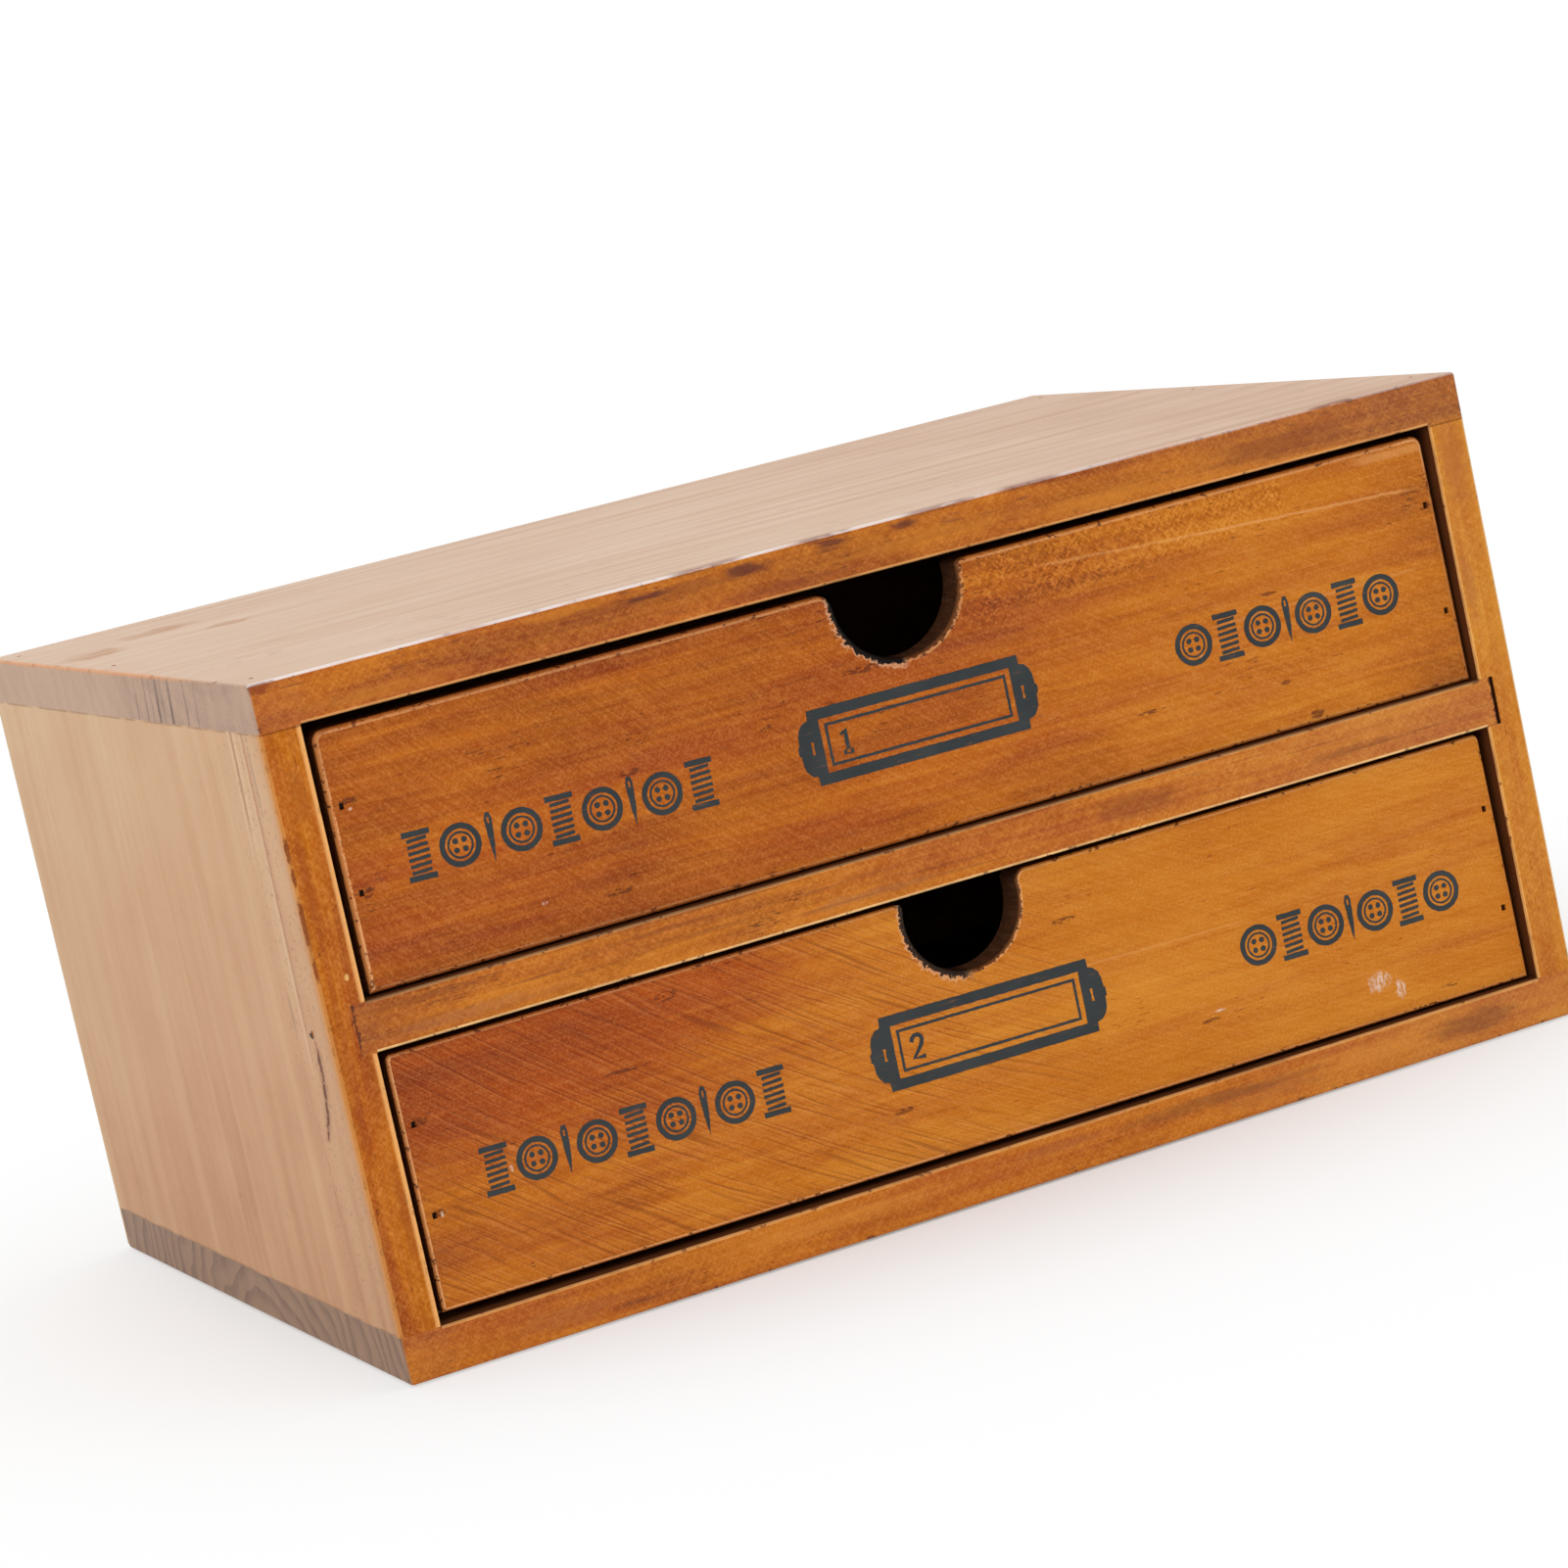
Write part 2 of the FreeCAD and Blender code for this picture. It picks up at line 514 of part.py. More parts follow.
def drawer_back(label, place):
    """A drawer's back: it stands on the bottom panel, between the sides."""
    body = board(label, place,
                 (DRAWER_BACK_WIDTH, "dims.drawer_back", f"dims.drawer_side_height - {PANEL_TOP}"))
    ends = [("dims.drawer_back / 2", f"{level} - {PANEL_TOP}")
            for level in ("dims.back_brad_low", "dims.back_brad_high")]
    side_reach = reach("dims.short_brad", "dims.drawer_board", "dims.flush_sink")
    brad_holes(body, "left", "YZ_Plane", "0", True, ends, side_reach)
    brad_holes(body, "right", "YZ_Plane", DRAWER_BACK_WIDTH, False, ends, side_reach)
    up_reach = reach("dims.short_brad", "dims.panel_thickness", "dims.flush_sink")
    brad_holes(body, "bottom", "XY_Plane", "0", True,
               bottom_brad_sites(f"{DRAWER_BACK_WIDTH} / 2", "dims.drawer_back / 2"), up_reach)


def bottom_brad_sites(middle, along):
    """The four brads up through a drawer's bottom into its back."""
    offsets = ("-dims.bottom_brad_spread", "-dims.bottom_brad_inner", "dims.bottom_brad_inner",
               "dims.bottom_brad_spread")
    return [(f"{middle} + {offset}", along) for offset in offsets]


def drawer(name, floor):
    """One whole drawer, whose underside is a running gap above the floor that it slides on."""
    left = f"dims.{name}_shift - dims.front_width / 2"
    front = f"{CASE_FRONT} + dims.front_recess"
    low = f"{floor} + dims.running_gap"
    behind_front = f"{front} + dims.front_thickness"
    drawer_front(name, (left, front, low))

    right_side = f"{left} + dims.front_width - dims.drawer_board"
    drawer_side(name, "left", (left, behind_front, low))
    drawer_side(name, "right", (right_side, behind_front, low))
    back_left = f"{left} + dims.drawer_board"
    back_front = f"{front} + {DRAWER_DEPTH} - dims.drawer_back"
    drawer_back(f"{name}_back", (back_left, back_front, f"{low} + {PANEL_TOP}"))

    panel_place = (f"{back_left} - {PANEL_TONGUE}", f"{behind_front} - {PANEL_TONGUE}",
                   f"{low} + dims.groove_level")
    panel = board(f"{name}_bottom", panel_place, (PANEL_WIDTH, PANEL_LENGTH, "dims.panel_thickness"))
    panel_sites = bottom_brad_sites(f"{PANEL_WIDTH} / 2", f"{PANEL_LENGTH} - dims.drawer_back / 2")
    brad_holes(panel, "bottom", "XY_Plane", "0", True, panel_sites, "dims.panel_thickness", "dims.flush_sink")

    front_group = new_piece(f"{name}_front_brads", left, front, low)
    brads(front_group, "front", "XZ_Plane", "0", False, front_brad_sites(name), "dims.front_brad",
          "dims.head_sink")
    back_group = new_piece(f"{name}_back_brads", left, behind_front, low)
    for side, face, rightwards in (("left", "0", True), ("right", "dims.front_width", False)):
        brads(back_group, side, "YZ_Plane", face, rightwards, back_brad_sites(), "dims.short_brad",
              "dims.flush_sink")
    bottom_group = new_piece(f"{name}_bottom_brads", *panel_place)
    brads(bottom_group, "bottom", "XY_Plane", "0", True, panel_sites, "dims.short_brad", "dims.flush_sink")


def write_parts():
    """Check every object, then write each piece to its own file."""
    doc.recompute()
    for item in doc.Objects:
        if "Invalid" in item.State or "Error" in item.State:
            raise RuntimeError(f"{item.Label} failed: {item.State}")
    for piece in pieces:
        if piece.Shape.isNull() or not piece.Shape.isValid():
            raise RuntimeError(f"{piece.Label} has no valid shape")
    for piece in pieces:
        piece.Shape.exportStep(f"parts/{piece.Label}.step")


top_and_bottom_boards()
side_boards()
divider_shelf()
bore_case_for_back_panel()
back_panel()
drawer("upper", "(dims.shelf_level + dims.shelf_thickness)")
drawer("lower", "dims.board_thickness")
write_parts()
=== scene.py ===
import math

import bpy
from mathutils import Matrix, Vector, noise


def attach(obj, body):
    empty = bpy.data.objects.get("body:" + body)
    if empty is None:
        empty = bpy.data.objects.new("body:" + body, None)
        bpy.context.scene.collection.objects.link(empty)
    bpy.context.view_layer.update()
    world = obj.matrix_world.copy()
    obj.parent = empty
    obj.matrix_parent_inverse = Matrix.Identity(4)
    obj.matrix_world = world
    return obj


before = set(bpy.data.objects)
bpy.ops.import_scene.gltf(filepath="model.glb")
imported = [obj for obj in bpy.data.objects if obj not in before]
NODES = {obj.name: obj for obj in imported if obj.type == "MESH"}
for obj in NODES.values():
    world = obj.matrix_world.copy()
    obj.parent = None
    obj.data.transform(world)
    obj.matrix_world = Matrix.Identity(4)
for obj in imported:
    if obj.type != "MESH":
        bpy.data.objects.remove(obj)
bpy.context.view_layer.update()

# The looks of a two-drawer wooden box for thread and haberdashery.
# Lengths are millimetres in the object's own frame, unless a name ends in _m.

MM = 0.001

FRONT_PLANE = -91.5
TOP_JOINT = 119.8


# ---------------------------------------------------------------- shading tools

SEED_STEP = (7.31, 3.17, 5.73)


def linear(red, green, blue):
    """A colour given in 0 to 255 screen values, as the linear values that shaders take."""
    def channel(level):
        share = level / 255
        return share / 12.92 if share <= 0.04045 else ((share + 0.055) / 1.055) ** 2.4
    return (channel(red), channel(green), channel(blue), 1.0)


def add_node(tree, kind, values=(), **settings):
    """A new node with its settings, and values for some of its inputs."""
    node = tree.nodes.new(kind)
    for name, setting in settings.items():
        setattr(node, name, setting)
    for socket, value in dict(values).items():
        node.inputs[socket].default_value = value
    return node


def operation(name, swapped=False):
    """A method of Field that adds one math node."""
    def method(self, other=None):
        first, second = (other, self) if swapped else (self, other)
        return self.paint.math(name, first, second)
    return method


class Field:
    """A number that varies over a surface. Arithmetic on it adds nodes to its material."""

    def __init__(self, paint, socket):
        self.paint = paint
        self.socket = socket

    __add__ = __radd__ = operation("ADD")
    __sub__ = operation("SUBTRACT")
    __rsub__ = operation("SUBTRACT", swapped=True)
    __mul__ = __rmul__ = operation("MULTIPLY")
    __truediv__ = operation("DIVIDE")
    __abs__ = operation("ABSOLUTE")
    most = operation("MAXIMUM")
    least = operation("MINIMUM")
    part = operation("FRACT")  # what is left over a whole number

    def __neg__(self):
        return self * -1.0

    def rise(self, start, end):
        """0 at start and 1 at end, smooth between them. It falls where end is the smaller."""
        node = self.paint.add("ShaderNodeMapRange", {"From Min": start, "From Max": end},
                              interpolation_type="SMOOTHSTEP")
        self.paint.feed(node.inputs["Value"], self)
        return Field(self.paint, node.outputs["Result"])


class Paint:
    """Builds one material out of nodes."""

    def __init__(self, name):
        self.material = bpy.data.materials.new(name)
        self.material.use_nodes = True
        self.tree = self.material.node_tree
        self.shader = self.tree.nodes["Principled BSDF"]
        source = self.add("ShaderNodeTexCoord")
        place = self.add("ShaderNodeVectorMath", {"Scale": 1 / MM}, operation="SCALE")
        self.feed(place.inputs[0], source.outputs["Object"])
        self.place = place.outputs[0]
        self.x, self.y, self.z = self.split(self.place)
        self.nx, self.ny, self.nz = self.split(source.outputs["Normal"])

    def add(self, kind, values=(), **settings):
        return add_node(self.tree, kind, values, **settings)

    def feed(self, target, source):
        """Link a field or an output to the input, or set the input's own value."""
        if isinstance(source, Field):
            source = source.socket
        if isinstance(source, bpy.types.NodeSocket):
            self.tree.links.new(source, target)
        else:
            target.default_value = source

    def split(self, vector):
        node = self.add("ShaderNodeSeparateXYZ")
        self.feed(node.inputs[0], vector)
        return [Field(self, output) for output in node.outputs]

    def vector(self, x, y, z=0.0):
        node = self.add("ShaderNodeCombineXYZ")
        for target, source in zip(node.inputs, (x, y, z)):
            self.feed(target, source)
        return node.outputs[0]

    def math(self, operation, first, second=None):
        node = self.add("ShaderNodeMath", operation=operation)
        self.feed(node.inputs[0], first)
        if second is not None:
            self.feed(node.inputs[1], second)
        return Field(self, node.outputs[0])

    def distance(self, across, up):
        """Length of the flat vector (across, up)."""
        node = self.add("ShaderNodeVectorMath", operation="LENGTH")
        self.feed(node.inputs[0], self.vector(across, up))
        return Field(self, node.outputs["Value"])

    def noise(self, size, seed, detail=2.0, roughness=0.5, at=None):
        """Noise about 0.5 whose features are as large as size, one length for each axis."""
        moved = self.add("ShaderNodeVectorMath", {1: [1 / length for length in size],
                                                  2: [seed * step for step in SEED_STEP]},
                         operation="MULTIPLY_ADD")
        self.feed(moved.inputs[0], self.place if at is None else at)
        node = self.add("ShaderNodeTexNoise", {"Scale": 1.0, "Detail": detail, "Roughness": roughness})
        self.feed(node.inputs["Vector"], moved.outputs[0])
        return Field(self, node.outputs[0])

    def tones(self, level, stops):
        """The colour at a level from 0 to 1, between evenly spaced stops from dark to light."""
        ramp = self.add("ShaderNodeValToRGB")
        elements = ramp.color_ramp.elements
        while len(elements) < len(stops):
            elements.new(0.5)
        for index, (element, colour) in enumerate(zip(elements, stops)):
            element.position = index / (len(stops) - 1)
            element.color = linear(*colour)
        self.feed(ramp.inputs[0], level)
        return ramp.outputs[0]

    def mix(self, share, first, second):
        """first where share is 0 and second where it is 1; each is a colour or an output."""
        node = self.add("ShaderNodeMix", data_type="RGBA")
        self.feed(node.inputs[0], share)
        for target, colour in ((node.inputs[6], first), (node.inputs[7], second)):
            self.feed(target, linear(*colour) if isinstance(colour, tuple) else colour)
        return node.outputs[2]

    def finish(self, colour, roughness, relief, coat=0.0, coat_roughness=0.3, metallic=0.0, gloss=0.5):
        """Join everything to the shader. relief is the surface's height in millimetres."""
        bump = self.add("ShaderNodeBump", {"Distance": MM})
        self.feed(bump.inputs["Height"], relief)
        self.feed(self.shader.inputs["Normal"], bump.outputs[0])
        self.feed(self.shader.inputs["Base Color"], colour)
        self.feed(self.shader.inputs["Roughness"], roughness)
        for socket, value in (("Coat Weight", coat), ("Coat Roughness", coat_roughness),
                              ("Metallic", metallic), ("Specular IOR Level", gloss)):
            self.shader.inputs[socket].default_value = value
        return self.material


# ---------------------------------------------------------------- wood

RED = ((68, 18, 0), (122, 42, 0), (168, 70, 0), (192, 95, 6), (214, 131, 40))
GOLD = ((98, 48, 0), (154, 80, 3), (197, 112, 10), (215, 138, 36), (236, 180, 92))
# Pale outer tones of the top and the sides: duller lacquer with a painted grazing sheen.
TOP_TONES_WITH_SHEEN = ((152, 110, 84), (184, 144, 114), (203, 168, 140), (213, 184, 158), (222, 197, 174))
SIDE_TONES_WITH_SHEEN = ((154, 111, 86), (190, 141, 104), (208, 161, 123), (218, 177, 138), (226, 194, 156))
END_TOP = ((112, 84, 68), (158, 126, 106), (188, 152, 126), (203, 168, 140), (216, 186, 160))
END_BOTTOM = ((72, 47, 32), (112, 80, 58), (142, 107, 80), (162, 124, 95), (182, 148, 116))
INSIDE = ((46, 23, 11), (78, 41, 20), (106, 60, 30), (130, 78, 42))
PINE = ((126, 74, 34), (176, 120, 68), (206, 154, 98), (226, 184, 132))
PANEL = ((172, 130, 92), (204, 164, 124), (222, 187, 149), (234, 209, 177))
TORN = (92, 36, 18)
SCORE = (112, 46, 14)
RIDGE = (226, 146, 84)
# Pale peach of the fine ticks, partly painted glints.
PAINTED_GLINT = (255, 184, 106)
BLOOM = (128, 116, 104)
PEACH = (240, 172, 112)
CREAM = (250, 206, 140)
AMBER = (250, 184, 108)


def stretched(along, length, width):
    """Feature size of something that runs along one axis."""
    return tuple(length if axis == along else width for axis in "xyz")


class Grain:
    """The figure of one board whose fibres run along an axis: growth rings, fibres and flecks."""

    def __init__(self, paint, along, seed, ring_width=5.0, heart=(40.0, -30.0)):
        across = [getattr(paint, axis) for axis in "xyz" if axis != along]
        sway = paint.noise(stretched(along, 120, 22), seed, 2.0)
        wobble = paint.noise(stretched(along, 30, 6), seed + 1, 2.0)
        radius = paint.distance(across[0] - heart[0] + sway * 26, across[1] - heart[1] + wobble * 3)
        turn = (radius / ring_width).part()
        self.rings = turn.rise(0.25, 0.9) * turn.rise(1.0, 0.93)
        self.bands = paint.noise(stretched(along, 110, 7), seed + 2, 3.0, 0.6)
        self.clouds = paint.noise((30, 30, 22), seed + 3, 2.0)
        self.fibres = paint.noise(stretched(along, 14, 0.42), seed + 4, 3.0, 0.65)
        fleck = paint.noise(stretched(along, 2.4, 0.4), seed + 5, 1.0)
        gather = paint.noise((13, 13, 9), seed + 6, 1.0)
        self.flecks = (fleck + gather * 0.5).rise(0.98, 1.1)
        self.mottle = paint.noise((0.5, 0.5, 0.5), seed + 7, 2.0, 0.6)
        self.patches = paint.noise((2.4, 2.4, 2.0), seed + 8, 2.0, 0.6)
        self.hue = paint.noise(stretched(along, 52, 8), seed + 9, 2.0)
        self.streaks = paint.noise(stretched(along, 26, 1.7), seed + 24, 3.0, 0.6)

    def level(self, middle=0.5, bands=0.3, clouds=0.26, rings=0.06, fibres=0.2, flecks=0.26, mottle=0.12,
              patches=0.1):
        """Lightness of the wood, from 0 to 1."""
        return (middle + (self.bands - 0.5) * bands + (self.clouds - 0.5) * clouds - self.rings * rings
                + (self.fibres - 0.5) * fibres - self.flecks * flecks + (self.mottle - 0.5) * mottle
                + (self.patches - 0.5) * patches)

    def relief(self, fibres=0.06, rings=0.02, flecks=0.05, mottle=0.03):
        return self.fibres * fibres - self.rings * rings - self.flecks * flecks + self.mottle * mottle


def round_about(paint, centre):
    """Distance from a centre (x, z), and that distance with the length of the arc round it."""
    across = paint.x - centre[0]
    up = paint.z - centre[1]
    reach = paint.distance(across, up)
    turn = paint.math("ARCTAN2", up, across) * math.hypot(*centre)
    return reach, paint.vector(reach, turn)


def arcs(paint, centre, spacing, length, seed, detail=2.0):
    """Streaks that follow wide arcs about a centre, as a circular saw leaves them."""
    at = round_about(paint, centre)[1]
    return paint.noise((spacing, length, 1), seed, detail, 0.6, at=at)


def saw_lines(paint, centre, spacing, length, seed):
    """Thin grooves at nearly even spacing along such arcs, and the ridges beside them."""
    reach, at = round_about(paint, centre)
    drift = paint.noise((spacing * 3, length * 2, 1), seed, 1.0, at=at)
    turn = (reach / spacing + drift * 4).part()
    present = paint.noise((spacing * 1.1, length, 1), seed + 1, 1.0, at=at).rise(0.4, 0.64)
    return abs(turn - 0.5).rise(0.3, 0.46) * present, abs(turn - 0.3).rise(0.16, 0.04) * present


def stained(paint, grain, level, hue, ticks, tones, bloom=0.0):
    """Stained and lacquered wood, golden to red, with a thin grey bloom and pale ticks: combed and torn
    fibres, and painted fine glints over the mottle.
    """
    colour = paint.mix(hue, paint.tones(level, tones[0]), paint.tones(level, tones[1]))
    colour = paint.mix((grain.patches + grain.hue - 1.0) * 0.11 + bloom + 0.008, colour, BLOOM)
    # The pale peach mix is partly painted fine glints, following the mottle and fibres, and partly the ticks
    # passed in.
    return paint.mix((grain.mottle - 0.5) * 0.42 + (grain.fibres - 0.5) * 0.16 + ticks + 0.036, colour, PAINTED_GLINT)


def weave(paint, seed, width=0.55, length=4.5):
    """Fine streaks that cross on the slant over a front face, about 0."""
    at = paint.vector(paint.x + paint.z, paint.x - paint.z)
    rising = paint.noise((length, width, 1), seed, 2.0, 0.6, at=at)
    falling = paint.noise((width, length, 1), seed + 1, 2.0, 0.6, at=at)
    return rising + falling - 1.0


def spot(paint, first, second, centre, size, ragged=0.25, seed=3):
    """A small patch, 1 inside and 0 outside, in two of the coordinates."""
    reach = paint.distance((first - centre[0]) / size[0], (second - centre[1]) / size[1])
    if ragged:
        reach = reach + (paint.noise((min(size) * 0.8,) * 3, seed, 2.0) - 0.5) * ragged * 4
    return reach.rise(1.15, 0.6)


def nowhere(paint):
    return paint.z * 0.0


def spot_group(paint, first, second, places, ragged=0.25, seed=0):
    """Several such patches, each given as its middle and its half sizes."""
    return total([spot(paint, first, second, place, size, ragged, seed + index)
                  for index, (place, size) in enumerate(places)])


def total(fields):
    """The greatest of several masks."""
    result = fields[0]
    for field in fields[1:]:
        result = result.most(field)
    return result


def turned(slope, start=0.03, end=0.14):
    """Where a rounding has begun to turn to the side that the slope points to."""
    return slope.rise(start, end)


def finger(paint, cut_out):
    """Distance outwards from the rim of a finger cut-out, given as its middle (x, z) and its radius."""
    middle, radius = cut_out
    return paint.distance(paint.x - middle[0], paint.z - middle[1]) - radius


def front_paint(name, seed, centre, cut_out, scoring, shade, redness, wear, ragged, spots, pale_spots,
                lines, tear=nowhere):
    """Stained and lacquered drawer front, scored by the saw and worn along its arrises, with painted light on
    their outer rounding and painted shade round the finger cut-out.
    """
    paint = Paint(name)
    grain = Grain(paint, "x", seed, 6.5, (-150.0, 14.0 + seed))
    facing = (-paint.ny).rise(0.3, 0.8)

    combed = arcs(paint, centre, 0.4, 8, seed + 10)
    groove, ridge = saw_lines(paint, centre, 1.3, 24, seed + 11)
    fine_groove, fine_ridge = saw_lines(paint, centre, 0.7, 12, seed + 17)
    depth = scoring(paint)
    scored = groove.most(fine_groove * 0.7) * depth
    crossing = weave(paint, seed + 13)
    torn = tear(paint)
    level = (grain.level() + shade(paint) + (combed - 0.5) * 0.16 + (grain.streaks - 0.5) * 0.16
             + torn * 0.7)
    hue = redness(paint) + (grain.hue - 0.5) * 1.2 - (grain.streaks - 0.5) * 1.0 - crossing * 0.2
    ticks = (combed - 0.5) * 0.16 + crossing * 0.14 + torn * 0.3
    colour = stained(paint, grain, level, hue, ticks, (GOLD, RED))
    colour = paint.mix(scored * 0.55, colour, SCORE)
    colour = paint.mix(ridge.most(fine_ridge * 0.8) * depth * 0.24, colour, RIDGE)

    for (start, end, height), slant, width, share in lines:
        away = abs(paint.z - height - (paint.x - start) * slant + (grain.patches - 0.5) * 0.7)
        line = away.rise(width, width * 0.3) * paint.x.rise(start, start + 6) * paint.x.rise(end, end - 6)
        colour = paint.mix(line * share, colour, (236, 172, 104))
    dark = spot_group(paint, paint.x, paint.z, spots) * (
        paint.noise((1.5, 1.0, 0.5), seed + 19, 2.0, 0.6).rise(0.44, 0.56))
    colour = paint.mix(dark * facing * 0.7, colour, TORN)
    pale = spot_group(paint, paint.x, paint.z, pale_spots, seed=30) * (
        paint.noise((0.5, 1.0, 1.2), seed + 14, 2.0).rise(0.36, 0.66))
    colour = paint.mix(pale * facing * 0.75, colour, (232, 208, 190))

    teeth = paint.noise((1.1, 1.1, 1.0), seed + 15, 3.0, 0.7)
    bite = (teeth - 0.42).most(0.0) * ragged(paint)
    rounded = (-paint.ny).rise(0.9998, 0.999)
    slope = -paint.ny - bite * rounded
    rim = finger(paint, cut_out)
    at_rim = rim.rise(3.0, 1.0)
    outer = slope.rise(0.88, 0.66) * rounded
    # Painted light: the outer rounding is lifted out of the shade the case casts on it, and made brighter
    # still where it faces left, towards the light.
    colour = paint.mix(outer * 0.45, colour, (204, 118, 58))
    colour = paint.mix(outer * (-paint.nx).rise(0.1, 0.4) * 0.5, colour, (244, 160, 92))
    # Painted shade: the outer rounding next to the finger cut-out is darkened as the hole's shade.
    colour = paint.mix(outer * at_rim * 0.8, colour, (48, 24, 14))
    inner = (-paint.ny).rise(0.9998, 0.995) * slope.rise(0.66, 0.86)
    bright = inner * wear(paint) * (teeth.rise(0.32, 0.52) * 0.6 + 0.4)
    colour = paint.mix(bright, colour, PEACH)
    chips = rounded * paint.noise((1.5, 1.5, 1.3), seed + 16, 2.0, 0.6).rise(0.61, 0.66)
    colour = paint.mix(chips * 0.75, colour, TORN)
    # The front's side faces and the cut-out's wall: dark stained end grain, darkened further as painted shade
    # of the gaps and the hole.
    wall = (-paint.ny).rise(0.3, 0.05)
    sawn = paint.noise((0.5, 6.0, 0.5), seed + 20, 2.0, 0.6)
    bored = paint.tones(sawn, ((40, 22, 12), (76, 46, 30), (120, 80, 54)))
    edges = paint.tones(sawn, ((66, 30, 10), (112, 58, 22), (158, 92, 40)))
    colour = paint.mix(wall * 0.9, colour, paint.mix(at_rim, edges, bored))
    behind = grain.level(middle=0.6, clouds=0.3, fibres=0.35, mottle=0.25)
    colour = paint.mix(paint.ny.rise(0.5, 0.8), colour, paint.tones(behind, PINE))

    chipped = ragged(paint).rise(1.7, 2.6)
    # Painted shade: near-black nicks along the cut-out's rim, the hole's shadow painted on the face where
    # wood seems broken away.
    nick_shadow = (rim + (teeth - 0.5) * 3.2).rise(1.25, 1.05) * chipped
    chip = (rim + (teeth - 0.5) * 4.0).rise(1.85, 1.45) * chipped
    colour = paint.mix(chip * facing * 0.48, colour, (240, 188, 146))
    colour = paint.mix(nick_shadow * rim.rise(-0.5, 0.2), colour, (20, 10, 6))

    relief = (grain.relief() + combed * 0.03 + crossing * 0.015 - scored * 0.06 - dark * 0.12
              - chips * 0.25 + pale * 0.03)
    roughness = 0.44 + grain.mottle * 0.16 + scored * 0.1
    return paint.finish(colour, roughness, relief, coat=0.04, coat_roughness=0.22, gloss=0.18)


def torn_grain(paint):
    """A patch of torn, cross-hatched grain below the upper front's top edge, about 0."""
    line = paint.z - 110.4 - (paint.x - 50) * 0.075
    band = line.rise(-4.6, -1.4) * paint.x.rise(6, 22) * paint.x.rise(84.5, 82.5)
    return weave(paint, 61, 0.6, 1.9) * band * (paint.noise((9, 9, 5), 63, 2.0).rise(0.3, 0.56) * 0.6 + 0.4)


def end_bloom(paint):
    """The boards' fronts are a little greyer towards the right, and at the left end."""
    return paint.x.rise(30, 112) * 0.1 + paint.x.rise(-112, -118) * 0.05


def case_paint(name, along, seed, outer_tones, inner, front_tones=(GOLD, RED), ring_width=6.0,
               heart=(30.0, -40.0), front_shade=nowhere, redness=0.35, edge_tone=AMBER, shade=nowhere,
               end_tones=None, end=None, marks=None, wear=nowhere, gloss=0.24):
    """A board of the case: orange at its front edge, paler outside, where the lacquer has dulled and a
    grazing sheen is painted into the colour.
    """
    paint = Paint(name)
    grain = Grain(paint, along, seed, ring_width, heart)
    crossing = weave(paint, seed + 13, 0.75, 4.5)
    front_level = (grain.level(clouds=0.36) + (grain.streaks - 0.5) * 0.2 + crossing * 0.12
                   + front_shade(paint))
    hue = (grain.hue - 0.5) * 2.0 - (grain.streaks - 0.5) * 1.1 - crossing * 0.5 + redness
    colour = stained(paint, grain, front_level, hue, crossing * 0.2, front_tones, end_bloom(paint))
    front = (-paint.ny).rise(0.35, 0.75)
    # The pale outer tones carry a painted sheen, the light the lacquer reflects at a grazing angle, as well
    # as its duller colour.
    outside = paint.tones(grain.level(middle=0.64, bands=0.4, clouds=0.35, rings=0.06, fibres=0.24,
                                      flecks=0.2, mottle=0.22, patches=0.06) + shade(paint), outer_tones)
    colour = paint.mix(front, outside, colour)

    inner_face = inner(paint).rise(0.3, 0.6)
    hidden = paint.tones(grain.level(middle=0.5), INSIDE)
    colour = paint.mix(inner_face, colour, hidden)

    relief = grain.relief() + crossing * front * 0.02
    if end_tones:
        end_face = abs(paint.nx).rise(0.5, 0.8)
        pores = paint.noise((0.5, 0.5, 0.5), seed + 20, 3.0, 0.7)
        streaks = paint.noise((6, 6.0, 14), seed + 21, 3.0, 0.6)
        end_level = 0.63 + (streaks - 0.5) * 0.4 + (pores - 0.5) * 0.45 + end(paint, grain)
        colour = paint.mix(end_face, colour, paint.tones(end_level, end_tones))
        relief = relief + end_face * pores * 0.05

    slope = -paint.ny
    rounded = slope.rise(0.9996, 0.985) * slope.rise(0.2, 0.5)
    inside = abs(paint.x).rise(122, 120) * abs(paint.z - 64.5).rise(59, 57)
    broken = paint.noise((9, 9, 9), seed + 22, 3.0, 0.65).rise(0.3, 0.62)
    colour = paint.mix(rounded * inside * wear(paint) * (broken * 0.4 + 0.6), colour, edge_tone)
    greatest = abs(paint.nx).most(abs(paint.ny)).most(abs(paint.nz))
    corner = greatest.rise(0.9996, 0.97)
    chips = paint.noise((2.0, 2.0, 2.4), seed + 23, 2.0, 0.6).rise(0.61, 0.67)
    colour = paint.mix(corner * chips * 0.7, colour, (104, 50, 26))
    relief = relief - corner * chips * 0.15
    if marks:
        for mask, tone, *depth in marks(paint, front):
            colour = paint.mix(mask, colour, tone)
            if depth:
                relief = relief - mask * depth[0]
    roughness = 0.43 + grain.mottle * 0.16
    return paint.finish(colour, roughness, relief, coat=gloss * 0.25, coat_roughness=0.3, gloss=gloss)


def clouds(paint, places, seed, ragged=0.3):
    """Soft stains on a front face, each given as its middle (x, z) and its half width and half height."""
    wander = (paint.noise((5, 5, 1.2), seed, 3.0, 0.6) - 0.5) * ragged * 6
    nearest = None
    for place, size in places:
        reach = paint.distance((paint.x - place[0]) / size[0], (paint.z - place[1]) / size[1])
        nearest = nearest.least(reach) if nearest else reach
    return (nearest + wander).rise(1.4, 0.4)


